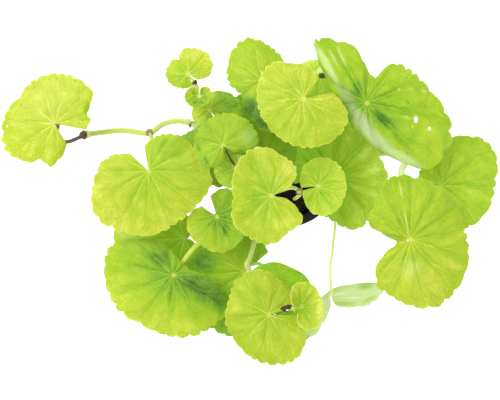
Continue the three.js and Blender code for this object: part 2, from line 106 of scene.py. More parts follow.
def new_material(name):
    """An empty material and a helper that adds its nodes."""
    material = bpy.data.materials.new(name)
    material.use_nodes = True
    material.node_tree.nodes.clear()
    return material, partial(add_node, material.node_tree)


# %% [markdown]
# Turning a tree's result into a plain mesh
#
# Geometry Nodes make what repeats or follows a path or a surface here. A modifier is only a recipe, and a
# piece that rides on the frame has to be a plain mesh. So the inputs are set, the object is evaluated once,
# and its result is kept in place of the recipe.

# %% Helpers for pieces
def link(name, data):
    """A new object at the origin, whose place is in its mesh."""
    obj = bpy.data.objects.new(name, data)
    bpy.context.scene.collection.objects.link(obj)
    return obj


def carried_out(obj):
    """The object's mesh after its modifiers."""
    graph = bpy.context.evaluated_depsgraph_get()
    return bpy.data.meshes.new_from_object(obj.evaluated_get(graph), preserve_all_data_layers=True,
                                           depsgraph=graph)


def grow(name, source, tree, inputs):
    """Runs a geometry tree on a mesh or curve and returns its result as a plain mesh object."""
    recipe = link(name + ".recipe", source)
    modifier = recipe.modifiers.new(tree.name, "NODES")
    modifier.node_group = tree
    for socket in tree.interface.items_tree:
        if socket.in_out == "INPUT" and socket.name in inputs:
            modifier[socket.identifier] = inputs[socket.name]
    mesh = carried_out(recipe)
    bpy.data.objects.remove(recipe)
    mesh.name = name
    return link(name, mesh)


def end_tree(add, shape, material):
    """Ends a geometry tree: its instances become real faces, shaded smooth and with their material."""
    real = add("RealizeInstances", shape)
    smooth = add("SetShadeSmooth", real)
    add("NodeGroupOutput", add("SetMaterial", smooth, Material=material))


def finish(piece, node):
    """The piece rides on the plant and stands for its solid, which is hidden."""
    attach(piece, "root")
    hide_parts(node)


# %% [markdown]
# Stage, camera and light
#
# The plant was photographed from straight above on white. The camera's height and focal length make the
# frame's leaves fall where the photograph has them. A white surround and one large soft light throw no hard
# shadow, so the leaves read by their own colour, which is how greens this bright keep their hue.

# %% Camera, floor and light
CAMERA_PLACE = (-18.1, -13.7, 900)
FOCAL_PIXELS = 1670
PHOTO_PIXELS = (500, 400)
SENSOR_WIDTH = 36
FLOOR_HALF = 4000
SOFT_BOX_PLACE = (-700, 500, 1300)
SOFT_BOX_SIZE = 900
SOFT_BOX_WATTS = 16

camera_data = bpy.data.cameras.new("camera")
camera_data.sensor_width = SENSOR_WIDTH
camera_data.lens = FOCAL_PIXELS / PHOTO_PIXELS[0] * SENSOR_WIDTH
camera_data.clip_end = 20
camera = link("camera", camera_data)
camera.location = Vector(CAMERA_PLACE) * MM
bpy.context.scene.camera = camera
bpy.context.scene.view_settings.view_transform = "Standard"

floor_mesh = bpy.data.meshes.new("floor")
half = FLOOR_HALF * MM
floor_corners = [(-half, -half, 0), (half, -half, 0), (half, half, 0), (-half, half, 0)]
floor_mesh.from_pydata(floor_corners, [], [(0, 1, 2, 3)])
floor = link("floor", floor_mesh)
material, add = new_material("matt white light table")
add("OutputMaterial", add("BsdfPrincipled", Base_Color=linear("#bcbcba"), Roughness=0.9,
                          Emission_Color=linear("#ffffff"), Emission_Strength=0.78))
floor_mesh.materials.append(material)

world = bpy.data.worlds.new("white surround")
world.use_nodes = True
world.node_tree.nodes["Background"].inputs["Color"].default_value = linear("#fbfdff")
world.node_tree.nodes["Background"].inputs["Strength"].default_value = 1.25
bpy.context.scene.world = world

light_data = bpy.data.lights.new("soft box", "AREA")
light_data.size = SOFT_BOX_SIZE * MM
light_data.energy = SOFT_BOX_WATTS
light = link("soft box", light_data)
light.location = Vector(SOFT_BOX_PLACE) * MM
light.rotation_euler = (-light.location).to_track_quat("-Z", "Y").to_euler()
print("camera lens", round(camera_data.lens, 2), "mm")


def seen_at(u, v, height):
    """The place of a spot of the photograph, in millimetres at a height, and how long one pixel is there."""
    pixel = (CAMERA_PLACE[2] - height) / FOCAL_PIXELS
    return (CAMERA_PLACE[0] + (u - PHOTO_PIXELS[0] / 2) * pixel,
            CAMERA_PLACE[1] - (v - PHOTO_PIXELS[1] / 2) * pixel, pixel)


# %% [markdown]
# Veins of a blade
#
# About nine main veins spread from the hub like the ribs of a fan, and each forks a few times on its way to
# the margin. They could be drawn as curves, but a formula gives them at any sharpness: the direction round
# the hub is cut into one cell for each vein, and each fork folds the distance to it once more. The group
# reads the blade's own flat pattern in millimetres, so the veins bend and fold with it. Soft noises push
# that pattern about first, because no vein of a real leaf runs straight.

# %% Vein field, shared by all blades
VEIN_HALF_WIDTH = (0.2, 0.05)  # at the hub and near the margin
VEIN_SOFTNESS = 0.2
VEIN_SWING = 0.7
PUFF_WIDTH = 2.4
KINK = 1.3
KINKS_PER_MM = 0.3
SWINGS_PER_MM = 0.05
STREAKS_PER_MM = 0.16
STREAKS_PER_VEIN = 3.0
# Each fork has its earliest and its latest start, as shares of the way out, and its share of a cell.
FORKS = ((0.2, 0.5, 0.25), (0.72, 0.56, 0.125), (0.82, 0.82, 0.06))


def vein_group():
    """Vein, puff of the tissue between, distance from the hub and streaks, at each spot of the pattern."""
    tree, add, given = new_tree("vein field", "ShaderNodeTree",
                                {"Vector": "Flat", "Float": "Out, Veins, Spread, Seed"},
                                {"Float": "Vein, Puff, Radius, Streak"})
    flat, out, seed = given["Flat"], given["Out"], given["Seed"]
    radius = add("VectorMath.LENGTH", flat)
    kink = add("TexNoise", flat, W=seed, Scale=KINKS_PER_MM, Detail=2.0, noise_dimensions="4D")
    kink = add("VectorMath.SUBTRACT", kink.outputs["Color"], (0.5, 0.5, 0.5))
    far = add("MapRange", radius, 1.0, 9.0, 0.0, KINK * 2)
    split = add("SeparateXYZ", add("VectorMath.MULTIPLY_ADD", kink, far, flat)).outputs
    wander = add("TexNoise", flat, W=seed, Scale=SWINGS_PER_MM, Detail=2.0, noise_dimensions="4D")
    swing = add("MapRange", wander, 0.0, 1.0, -VEIN_SWING, VEIN_SWING)
    swing = add("Math.MULTIPLY", swing, out)
    turn = add("Math.ARCTAN2", split["Y"], split["X"])
    spacing = add("Math.DIVIDE", given["Spread"], given["Veins"])
    turn = add("Math.DIVIDE", turn, spacing)
    turn = add("Math.ADD", turn, swing)
    cell = add("Math.ROUND", turn)
    chance = add("TexWhiteNoise", W=add("Math.ADD", cell, seed), noise_dimensions="1D")
    gap = add("Math.ABSOLUTE", add("Math.SUBTRACT", turn, cell))
    for early, late, reach in FORKS:
        start = add("MapRange", chance, 0.0, 1.0, early, late)
        fork = add("MapRange", out, start, 1.0, 0.0, reach)
        gap = add("Math.ABSOLUTE", add("Math.SUBTRACT", gap, fork))
    distance = add("Math.MULTIPLY", gap, add("Math.MULTIPLY", spacing, radius))
    width = add("MapRange", out, 0.0, 0.55, *VEIN_HALF_WIDTH)
    wide = add("Math.ADD", width, VEIN_SOFTNESS)
    vein = add("MapRange", distance, width, wide, 1.0, 0.0, interpolation_type="SMOOTHSTEP")
    vein = add("Math.MULTIPLY", vein, add("MapRange", out, 0.15, 1.0, 1.0, 0.3))
    puff = add("MapRange", distance, 0.0, PUFF_WIDTH, interpolation_type="SMOOTHERSTEP")
    around = add("Math.MULTIPLY", turn, STREAKS_PER_VEIN)
    outward = add("Math.MULTIPLY", radius, STREAKS_PER_MM)
    streak = add("TexNoise", add("CombineXYZ", around, outward, seed), Scale=1.0, Detail=3.0)
    add("NodeGroupOutput", vein, puff, radius, streak)
    return tree


VEIN_FIELD = vein_group()
print("vein field:", len(VEIN_FIELD.nodes), "nodes")

# %% [markdown]
# Fresh leaf tissue
#
# A blade is about 0.4 mm thick and full of water: it has a soft gloss, and light comes through it.
# Subsurface scattering would do this slowly and grainily, so the skin is a reflecting surface mixed with a
# translucent one. All greens of the plant lie on one ladder, from deep shade to yellow young growth. So the
# recipe works out one number for each spot, its place on the ladder, which holds both the tissue's age and
# painted shade and light, and a colour ramp turns it into a tint. Veins, hub and margin are steps up the
# ladder, which keeps them in tune with every blade. Shaded blades take a painted glow, greener and brighter,
# for light that comes through the leaves above. The tissue is painted darker beside the veins and lighter on
# the puffs between, as painted shade and light of its quilting. The underside is paler, because its tissue is
# loose and holds air.

# %% The ladder of tints and the lamina group
LADDER = ("#263f10", "#4d751b", "#679122", "#81ab25", "#97ba24", "#a9c228", "#bbc934", "#d1d655", "#e5e480")
# Some tints paint light on blades: the pale, whitish, milky and grey-green ones are painted sheen and
# highlights, and the soot black and deep green at one notch are painted shadow
TINTS = {
    "pale": "#d3e4a8", "milky": "#c9d4ac", "white": "#eef3e2", "cream": "#e9e79a", "brown": "#5d4026",
    "umber": "#2a1b16", "straw": "#e4dc86", "soot": "#15140f", "sage": "#a2b47e", "glassy": "#e2f0b8",
    "leafy": "#a8cc48", "deep": "#4f7a22", "bark": "#8a6550",
}
PAINTED_GLOW_TINT = (0.78, 1.28, 1.05, 1.0)  # painted glow of light through the tissue: less red, more green, brighter
HUB_TINT = "#e0dc7c"
FLAT_SPAN = 100  # millimetres across the flat UV map
RUNG = 1 / (len(LADDER) - 1)
BLOTCHES_PER_MM = 0.11
CELLS_PER_MM = 0.36
GRAINS_PER_MM = 0.9
LEAF_IOR = 1.36
STALK_IOR = 1.42


def lamina_group():
    """The colour, relief and gloss of a blade from its place on the ladder at hub and margin, which holds its
    age and painted shade, and from its vein pattern.
    """
    tree, add, given = new_tree(
        "lamina", "ShaderNodeTree",
        {"Float": "Inner, Outer, Margin, Spot, Quilt, Fresh, Shift, Veins, Spread, Seed", "Vector": "Sun"},
        {"Color": "Colour", "Float": "Relief, Gloss"})
    flat = add("VectorMath.ADD", add("UVMap", uv_map="flat"), (-0.5, -0.5, 0))
    flat = add("VectorMath.SCALE", flat, FLAT_SPAN)
    rim = add("SeparateXYZ", add("UVMap", uv_map="rim")).outputs
    out = rim["Y"]
    field = add("Group", flat, out, given["Veins"], given["Spread"], given["Seed"],
                node_tree=VEIN_FIELD).outputs
    blotch = add("TexNoise", flat, W=given["Seed"], Scale=BLOTCHES_PER_MM, Detail=3.0, noise_dimensions="4D")
    grain = add("TexNoise", flat, Scale=GRAINS_PER_MM, Detail=2.0)
    bent = add("VectorMath.MULTIPLY_ADD", grain.outputs["Color"], (1.6, 1.6, 0.0), flat)
    cells = add("TexVoronoi", bent, Scale=CELLS_PER_MM, feature="DISTANCE_TO_EDGE", voronoi_dimensions="2D")
    net = add("MapRange", cells, 0.02, 0.14, 1.0, 0.0)
    hub = add("MapRange", field["Radius"], 0.4, 1.4, given["Spot"], 0.0, interpolation_type="SMOOTHSTEP")
    edge = add("MapRange", out, 0.968, 0.985)
    near = add("MapRange", out, 0.04, 0.5, -0.6, 0.0)
    # Painted shade in the creases beside the veins, and painted light on the puffs between them
    quilt_shade = add("MapRange", field["Puff"], 0.0, 1.0, -0.35, 0.15)
    # The sun step is painted light: the blade is lighter towards one side
    steps = [add("VectorMath.DOT_PRODUCT", flat, given["Sun"]),
             add("Math.MULTIPLY", near, field["Puff"])]
    for mottle, height in ((blotch, 0.4), (field["Streak"], 0.65), (grain, 0.35)):
        steps.append(add("MapRange", mottle, 0.3, 0.7, -height, height))
    for part, height in ((net, 0.35), (quilt_shade, given["Quilt"]), (field["Vein"], 1.9), (edge, given["Margin"])):
        steps.append(add("Math.MULTIPLY", part, height))
    # The place on the ladder from hub to margin: the tissue's age together with painted shade
    age_and_shade = add("MapRange", out, 0.05, 0.95, given["Inner"], given["Outer"])
    for step in (*steps, given["Shift"]):
        age_and_shade = add("Math.ADD", age_and_shade, step)
    ramp = add("ValToRGB", add("Math.MULTIPLY", age_and_shade, RUNG))
    for _ in LADDER[2:]:
        ramp.color_ramp.elements.new(0.5)
    for rung, tint in enumerate(LADDER):
        ramp.color_ramp.elements[rung].position = rung * RUNG
        ramp.color_ramp.elements[rung].color = linear(tint)
    # Painted glow: a greener, brighter tint for light that comes through the leaves above a shaded blade
    colour = add("Mix", given["Fresh"], ramp, PAINTED_GLOW_TINT, data_type="RGBA", blend_type="MULTIPLY")
    colour = add("Mix", hub, colour, linear(HUB_TINT), data_type="RGBA")
    below = add("Math.MULTIPLY", rim["X"], 0.6)
    colour = add("Mix", below, colour, linear(TINTS["pale"]), data_type="RGBA")
    relief = add("Math.MULTIPLY_ADD", grain, 0.5, field["Streak"])
    relief = add("Math.MULTIPLY_ADD", net, -0.35, relief)
    relief = add("Math.ADD", relief, field["Puff"])
    add("NodeGroupOutput", colour, relief, add("MapRange", grain, 0.0, 1.0, 0.38, 0.56))
    return tree


def juicy_surface(add, colour, bump, roughness, ior, glow):
    """Full green tissue: a surface with a soft gloss, with the share of the light that comes through it."""
    skin = add("BsdfPrincipled", Base_Color=colour, Roughness=roughness, IOR=ior, Normal=bump)
    through = add("BsdfTranslucent", Color=colour, Normal=bump)
    add("OutputMaterial", add("MixShader", glow, skin, through))


LAMINA = lamina_group()
print("lamina:", len(LAMINA.nodes), "nodes")

# %% [markdown]
# One tissue for each blade
#
# Every blade has its own age and its own light. So each gets its own copy of the recipe: its place on the
# ladder at its hub and at its margin, which holds its age and painted shade, the side painted lighter as if
# light fell on it, and soft ovals where it is folded, worn or shaded. An oval with a tint lays that tint on,
# and one without moves the place on the ladder. Most are painted shade where leaves above or a fold shade the
# blade, some are painted light, the pale ones are painted sheen on folds, and yellow and brown ones are its
# own worn marks. Each was placed in the photograph's pixels, and the camera's own numbers turn that into a
# place on the plant.

# %% Patches and the lamina material
def oval_mask(add, place, height, patch):
    """An amount inside a soft-edged oval and 0 outside.

    A patch is u, v, two half sizes, turn, softness and amount, and then its tint and height if it has them.
    """
    u, v, half_u, half_v, turn, softness, amount = patch[:7]
    x, y, pixel = seen_at(u, v, patch[8] if len(patch) > 8 else height)
    oval = add("Mapping", place, (x * MM, y * MM, 0), (0, 0, math.radians(turn)),
               (half_u * pixel * MM, half_v * pixel * MM, 1), vector_type="TEXTURE")
    flat = add("VectorMath.MULTIPLY", oval, (1, 1, 0))
    far = add("VectorMath.LENGTH", flat)
    return add("MapRange", far, 1 - softness, 1.0, amount, 0.0, interpolation_type="SMOOTHSTEP")


def lay_patches(add, colour, place, height, patches):
    """Lays the ovals that have a tint over a colour."""
    for patch in patches:
        if len(patch) > 7:
            mask = oval_mask(add, place, height, patch)
            colour = add("Mix", mask, colour, linear(TINTS[patch[7]]), data_type="RGBA")
    return colour


def spread_of(leaf):
    """The degrees that a blade spans round its hub, from one side of its notch to the other."""
    return 360 - 2 * leaf["notch"][1]


def lamina_material(name, leaf, seed):
    """Leaf tissue of this blade's own age, painted shade and painted light."""
    material, add = new_material("fresh leaf tissue " + name.replace("_", " "))
    place = add("TexCoord").outputs["Object"]
    height = leaf["hub"][2]
    # Sun: a painted gradient of light across the blade, lighter on the side the light falls on
    sun_turn = math.radians(leaf["sun"][0] - leaf["notch"][0] - 180)
    sun_share = leaf["sun"][1] / max(leaf["reach"])
    shift = 0.0
    # Ovals without a tint shift the place on the ladder: mostly painted shade, some painted light
    for patch in leaf["patches"]:
        if len(patch) == 7:
            shift = add("Math.ADD", shift, oval_mask(add, place, height, patch))
    # fresh sets the blade's painted glow, relief its painted quilt shade, and sun the painted light from one
    # side
    lamina = add("Group", node_tree=LAMINA, Inner=leaf["age_and_shade"][0], Outer=leaf["age_and_shade"][1], Shift=shift,
                 Margin=leaf["margin"], Spot=leaf["spot"], Fresh=leaf["fresh"], Quilt=leaf["relief"],
                 Sun=(math.cos(sun_turn) * sun_share, math.sin(sun_turn) * sun_share, 0),
                 Veins=leaf["veins"], Spread=math.radians(spread_of(leaf)), Seed=seed).outputs
    colour = lay_patches(add, lamina["Colour"], place, height, leaf["patches"])
    bump = add("Bump", Height=lamina["Relief"], Strength=0.6, Distance=0.3 * MM)
    juicy_surface(add, colour, bump, lamina["Gloss"], LEAF_IOR, 0.4)
    return material


# %% [markdown]
# The leaves
#
# Each leaf is a blade and its stalk. The blade is round, with a notch at its hub, and its margin stands at a
# different distance in each direction. Its record has the solid's own hub, notch, reach, lean, cup, ripple
# and fold, in millimetres and degrees. It adds the place on the ladder, which holds the tissue's age and
# painted shade, the number of main veins, single lobes, the stretches of the margin that have no scallops,
# and the patches, which are mostly painted shade, light and sheen, with some marks of the leaf's own.

# %% Leaves on the left
# hub: x, y, height. notch: direction, half width. lean: direction, degrees. ripple: waves, height.
# fold: direction, half length, radius, degrees, edge. reach: round from one side of the notch to the other.
# patches: u, v, half sizes, turn, softness, amount, then tint and height. Ovals without a tint move the blade
# along the ladder: most darker ones are painted shade under leaves above or in folds, some are greener
# tissue, and lighter ones are mostly painted light. Pale and whitish ovals are painted sheen and highlights.
LEAVES = {}
LEAVES["far_left"] = dict(
    hub=(-119, 25.8, 36), notch=(-36, 25), teeth=22, lean=(170, 12), cup=-3, ripple=(4, 1),
    reach=[16.5, 19.5, 22.5, 25.5, 26, 26, 25.5, 24.5, 27, 29, 29.5, 24.5, 21.5, 18.5, 12],
    start="J1", bark="brown", stalk=[(-115.1, 16.9, 20), (-119.8, 18.6, 27)], age_and_shade=(5.7, 6.0), margin=1.2,
    relief=0.9, scallop=1.2, lobes=[(19, 9, -3), (42, 6, 2.4), (248, 8, -2.4), (263, 7, 1.6)],
    patches=[(87, 108, 4, 10, -5, 0.8, -1.6), (48, 112, 6, 6, 0, 0.9, -1), (19.6, 104, 1.5, 2, 0, 0.8, -2.5),
             (32.7, 87, 1.5, 2, 0, 0.8, -2.5), (56, 78, 1.5, 2, 0, 0.8, -2.5),
             (74.5, 80.5, 1.5, 2, 0, 0.8, -2.5), (5, 125.6, 1.5, 2, 0, 0.8, 0.8, "white"),
             (41, 162, 5, 2.5, 10, 0.8, -1.6), (44, 100, 44, 40, 0, 1, 0.22, "straw")])
LEAVES["left"] = dict(
    hub=(-67.5, 0.5, 84), notch=(119.5, 18.5), teeth=26, lean=(215, 12), cup=-4, ripple=(5, 1),
    reach=[13, 22.5, 28.5, 34.5, 33, 31.5, 28.5, 29, 31, 25.5, 23, 18, 13],
    start="J2", stalk=[(-67.6, 14.6, 48), (-66, 5, 70)], age_and_shade=(4.5, 5.9), sun=(250, 0.6), veins=11,
    patches=[(167, 146, 24, 16, 0, 0.9, -1.2), (108, 182, 34, 40, 0, 1, 0.06, "bark")])
LEAVES["tip_small"] = dict(
    hub=(-48.4, 47.9, 84), notch=(-48, 17), teeth=16, lean=(120, 14), cup=-2, ripple=(3, 0.5),
    reach=[5.5, 11, 13.5, 13.5, 12.5, 9.5, 11, 10.5, 8.5, 7, 6],
    start="tip", radius=0.6, bark="pale", age_and_shade=(4.6, 5.6), sun=(60, 0.8), margin=1.0, veins=7, scallop=1.6,
    lobes=[(121, 6, -2.2), (138, 9, 1.6)],
    patches=[(183, 71, 6, 5, 0, 1, -0.6), (190, 54, 15, 9, 0, 1, 0.35, "straw")])
LEAVES["tip_tiny"] = dict(
    hub=(-42.4, 36.2, 98), notch=(90, 8), teeth=12, lean=(270, 4), cup=1.5, ripple=(3, 0.3),
    reach=[3.5, 6, 7, 6.5, 5.5, 5.5, 5.5, 6, 4],
    start="bulb", radius=0.6, bark="pale", stalk=[(-43, 38, 84)], age_and_shade=(3.3, 5.0), sun=(90, 0.6), spot=1,
    veins=7, scallop=1.4,
    patches=[(202.5, 91, 5, 2.6, 65, 0.9, -1.8), (195, 102.5, 3, 2.6, 0, 0.9, -2),
             (201, 103, 3, 2.6, 0, 0.9, -1.8), (193.5, 93, 4, 2.2, -50, 0.9, -1.6),
             (206, 97, 3, 5, 0, 0.9, -0.8)])
LEAVES["shaded_upper"] = dict(
    hub=(-37.8, 30.1, 86), notch=(-55, 4), teeth=20, lean=(80, 6), cup=-1.5, ripple=(4, 0.6),
    reach=[22, 20, 15, 11.5, 8.5, 7.5, 8, 9, 9, 11, 9],
    start="J3", stalk=[(-45, 22.6, 66)], age_and_shade=(4.6, 3.8), sun=(160, 1.8), veins=7,
    patches=[(198, 118, 14, 12, 0, 0.9, 1.6), (211, 95, 9, 6, -20, 0.9, 1.4),
             (228, 106, 11, 12, 0, 0.8, -0.4), (237, 98, 8, 4, -70, 0.9, 0.9)])
# Its whitish ovals on the right lobe are painted sheen, and its dark ovals are painted shade.
LEAVES["upper_left"] = dict(
    hub=(-31, 12.2, 100), notch=(-57, 27), teeth=20, lean=(150, 6), cup=-1.5, ripple=(4, 0.6),
    reach=[6, 16, 17, 16.5, 15.5, 14.5, 14, 14, 14, 11.5, 6],
    start=(-12, -1), radius=0.48, bark="dark",
    stalk=[(-12.6, -2, 82), (-18, -1.5, 91.5), (-25.2, 3, 94.5), (-28.6, 8, 97)],
    stalk_patches=[(223.5, 147.5, 5, 4.5, 0, 0.5, 0.9, "leafy"), (237, 166, 3.5, 4, 0, 0.6, 0.8, "leafy")],
    age_and_shade=(4.4, 4.4), sun=(0, 0.3), margin=0.9, fresh=0.04, veins=7, scallop=1.3,
    patches=[(248, 137, 14, 13, 20, 1, 0.22, "milky"), (247, 138, 14, 12, 0, 1, 0.6),
             (198.5, 148, 6.5, 3, -60, 0.8, -1.7), (206, 160, 7.5, 2.6, -65, 0.8, -1.7),
             (240, 150.5, 8, 4, 10, 0.8, -1.3), (198, 131, 4, 8, 10, 0.9, 0.9)])
# Its one oval is painted light on a lobe that lies in the shade of the leaves above.
LEAVES["inner_left"] = dict(
    hub=(-24.9, 2.3, 86), notch=(122, 17), teeth=16, lean=(230, 8), cup=-0.5, ripple=(3, 0.4),
    reach=[6, 10.5, 11, 10.5, 9, 7.5, 6.5, 6.5, 6],
    start=(-17, 1), stalk=[(-19.2, 1.2, 70)], age_and_shade=(6.1, 5.7), sun=(225, 0.3), fresh=0.35, veins=7,
    patches=[(240, 157, 9, 6, 0, 0.9, 1.5)])

# %% Leaves in the middle and at the back
LEAVES["centre"] = dict(
    hub=(-8, -11.7, 112), notch=(5, 14), teeth=26, lean=(180, 6), cup=-1, ripple=(4, 0.8),
    reach=[8.5, 17, 19.5, 23.5, 23, 20, 18.5, 22.5, 22, 23, 19, 18, 7],
    fold=(180, 25, 10, -24, [16.5, 16.5]), start=(-4, -6), stalk=[(-5, -8, 80)], age_and_shade=(4.5, 5.9),
    sun=(0, 0.5), margin=1.3,
    patches=[(252, 160, 13, 12, 0, 0.9, -0.6), (257, 198, 10, 13, 0, 0.9, -0.9),
             (286, 170, 8, 9, 0, 0.9, 0.6), (276, 225, 15, 9, 0, 0.9, 0.5)])
LEAVES["small_round"] = dict(
    hub=(14.4, -7.2, 104), notch=(190, 5), teeth=20, lean=(330, 5), cup=2, ripple=(4, 0.4),
    reach=[7.5, 10, 13.5, 14.5, 13.5, 13.5, 14, 14, 12.5, 10, 8],
    start=(11, -4.5), stalk=[(12, -5.5, 78)], age_and_shade=(4.7, 6.0), sun=(330, 0.3), margin=1.1, spot=1,
    fresh=0.15, relief=1.6, veins=11,
    patches=[(321, 193, 5, 5, 0, 0.9, -0.7), (326, 181, 5, 5, 0, 0.9, -0.5)])
LEAVES["top_bright"] = dict(
    hub=(7, 33.7, 118), notch=(33, 20), teeth=26, lean=(95, 8), cup=-3, ripple=(5, 0.8),
    reach=[12, 16, 18, 22.5, 22.5, 21.5, 21, 21.5, 22.5, 23.5, 23.5, 20, 14.5],
    start=(4.2, 12.5), radius=1.1, stalk=[(4.6, 22, 61), (5.2, 30.5, 72), (6.6, 32.6, 100)], age_and_shade=(5.2, 5.9),
    sun=(60, 0.5), margin=1.5, veins=11, lobes=[(336, 10, 1)],
    patches=[(290, 84, 12, 11, 0, 0.9, -0.5), (263, 78, 5, 13, 20, 0.9, 0.7), (315, 72, 4, 6, 0, 0.9, 0.9),
             (323, 98, 12, 12, 0, 1, 0.7)])
# Its long dark oval is painted shadow of the bright leaf above.
LEAVES["back"] = dict(
    hub=(-11.7, 44.9, 82), notch=(0, 12), teeth=22, lean=(100, 14), cup=-2.5, ripple=(4, 0.8),
    reach=[15, 14.5, 17.5, 22.5, 20, 17, 13, 17.5, 26, 19, 14],
    start=(-4.4, 17.5), stalk=[(-6, 24, 58), (-10, 36, 68)], age_and_shade=(5.1, 4.5), sun=(135, 0.6), margin=1.0,
    scallop=1.5,
    patches=[(257, 114, 28, 14, -52, 0.6, -2.7), (243, 88, 9, 7, 0, 1, -0.7)])
# The black and deep green ovals at its hub are painted shadow in the gap of its notch.
LEAVES["back_hidden"] = dict(
    hub=(17, 47.6, 80), notch=(-75, 0.1), teeth=18, lean=(90, 6), cup=-1, ripple=(4, 0.6),
    reach=[15, 15, 13, 11, 9, 8, 10.5, 13, 14, 15, 15],
    start=(9, 15.5), stalk=[(12, 22, 58), (16, 36, 66)], age_and_shade=(4.6, 6.6), sun=(110, 0.8), fresh=0.3, veins=7,
    patches=[(321, 71.5, 6, 4.6, 0, 0.35, 0.9, "cream"), (314, 84.5, 9.5, 1, 58, 0.6, 0.6, "cream"),
             (329.8, 84.5, 9.5, 1.3, -66, 0.6, 0.6, "cream"), (322.6, 75.8, 4.7, 3.4, 5, 0.3, 0.92, "soot"),
             (320, 74, 2.2, 1.7, 30, 0.6, 0.85, "deep"), (324.2, 77.6, 2.6, 1.5, 25, 0.6, 0.85, "deep")])

# %% Leaves on the right, and the broad one inside them
# On the largest blade the pale, grey-green and milky ovals along its fold are painted sheen, the small pale
# ones painted highlights, and the dark ovals painted shade in its creases; the cream ones ring its holes and
# hub.
LEAVES["largest"] = dict(
    hub=(37.1, 32.2, 110), notch=(71, 0.4), teeth=28, lean=(0, 11), cup=-3, ripple=(5, 1.2),
    reach=[13, 15.5, 26, 33.5, 38, 38, 37, 34, 32, 30, 29, 28, 28, 29, 31.5, 36, 42, 44.5, 43.7, 38.2, 32,
           28, 26, 23, 13],
    fold=(221, 40, 6, 100, [3, 6.8, 11.3, 11.8, 3.5]), holes=[(60.8, 24.4, 1.6, 2.8), (67.6, 20.3, 1, 1.4)],
    start="mid", radius=1.2, stalk=[(49, 17, 74), (43, 28, 94)], age_and_shade=(3.5, 5.0), sun=(30, 0.2), fresh=0.1,
    relief=2, veins=11, scallop=1.1, fine=0.16,
    patches=[(327, 66, 34, 5, -61, 0.7, 0.6, "pale"), (347, 98, 20, 9, -60, 0.7, 0.6, "sage"),
             (362, 122, 24, 10, -52, 0.7, 0.6, "milky"), (378, 140, 26, 9, -38, 0.7, 0.6, "milky"),
             (404, 158, 30, 7, -26, 0.7, 0.65, "pale"), (333, 58, 13, 2, -62, 0.9, 0.6, "pale"),
             (342, 58, 15, 2.2, -66, 0.9, 0.5, "pale"), (357, 88, 14, 6, -70, 0.9, -1),
             (384, 120, 17, 8, -38, 0.8, -2), (399, 140, 14, 5, -35, 0.9, -0.9),
             (368, 88, 10, 3, 95, 0.9, 1.2), (430, 122, 18, 30, 0, 1, 0.5), (396, 82, 16, 10, 30, 1, -0.8),
             (408, 102, 6, 2.2, -35, 0.8, -1.8), (425, 90, 6, 3, -40, 0.9, 0.35, "pale"),
             (412, 89, 4, 2, -20, 0.9, 0.3, "pale"), (407, 117, 6, 2.4, -20, 0.9, 0.35, "pale"),
             (399.7, 89, 1.6, 1.4, 0, 0.6, 0.8, "cream"), (416.6, 118.4, 3.2, 4.6, 0, 0.5, 0.8, "cream"),
             (430.8, 128, 2.3, 2.7, 0, 0.5, 0.8, "cream"), (413.4, 126.2, 2.4, 1, 70, 0.5, 0.8, "cream")])
LEAVES["far_right"] = dict(
    hub=(74.6, -6.7, 86), notch=(215, 14), teeth=24, lean=(10, 17), cup=-3, ripple=(4, 1),
    reach=[11.5, 16, 23.5, 27, 28.5, 33, 26, 15.5, 13, 11, 10.5],
    start="right", radius=1.2, stalk=[(70, 5, 70), (74, -3, 79)], age_and_shade=(5.0, 5.6), sun=(240, 0.2), spot=0.2,
    fresh=0.2, relief=1.8)
LEAVES["lower_right"] = dict(
    hub=(58.6, -32.6, 104), notch=(187, 0.12), teeth=28, lean=(310, 11), cup=-4, ripple=(5, 1.2),
    reach=[6.8, 8.8, 19, 26, 28, 30.5, 33, 35, 34, 32.5, 30.5, 28.5, 27, 27, 28, 28.6, 28.8, 29.5, 30.8,
           30.6, 26.4, 23.4, 22, 12.5, 6.8],
    start="right", radius=1.7, bark="pale", stalk=[(57, 1, 73), (56.4, -12, 86), (57.8, -26, 94)],
    age_and_shade=(5.1, 5.4), sun=(265, 0.8), relief=1.7, veins=13,
    patches=[(400.5, 190.5, 12.5, 1, -80, 0.7, 0.65, "cream"), (406, 221, 19, 1, -78, 0.7, 0.5, "cream"),
             (412, 268, 18, 16, 0, 1, 0.2, "pale"), (425, 232, 16, 10, 0, 1, -0.5)])
LEAVES["broad_inner"] = dict(
    hub=(22.5, -2.5, 84), notch=(200, 10), teeth=28, lean=(0, 6), cup=-2, ripple=(5, 1),
    reach=[16.5, 17.5, 20.5, 28, 25.5, 27.5, 25.5, 27, 27.5, 25.5, 23, 19.5, 19.3],
    start=(18, -2.5), radius=1.2, stalk=[(20, -2.5, 66)], age_and_shade=(4.3, 5.6), sun=(0, 1.8), fresh=0.35,
    relief=2.2, veins=11, lobes=[(76, 10, 4)])

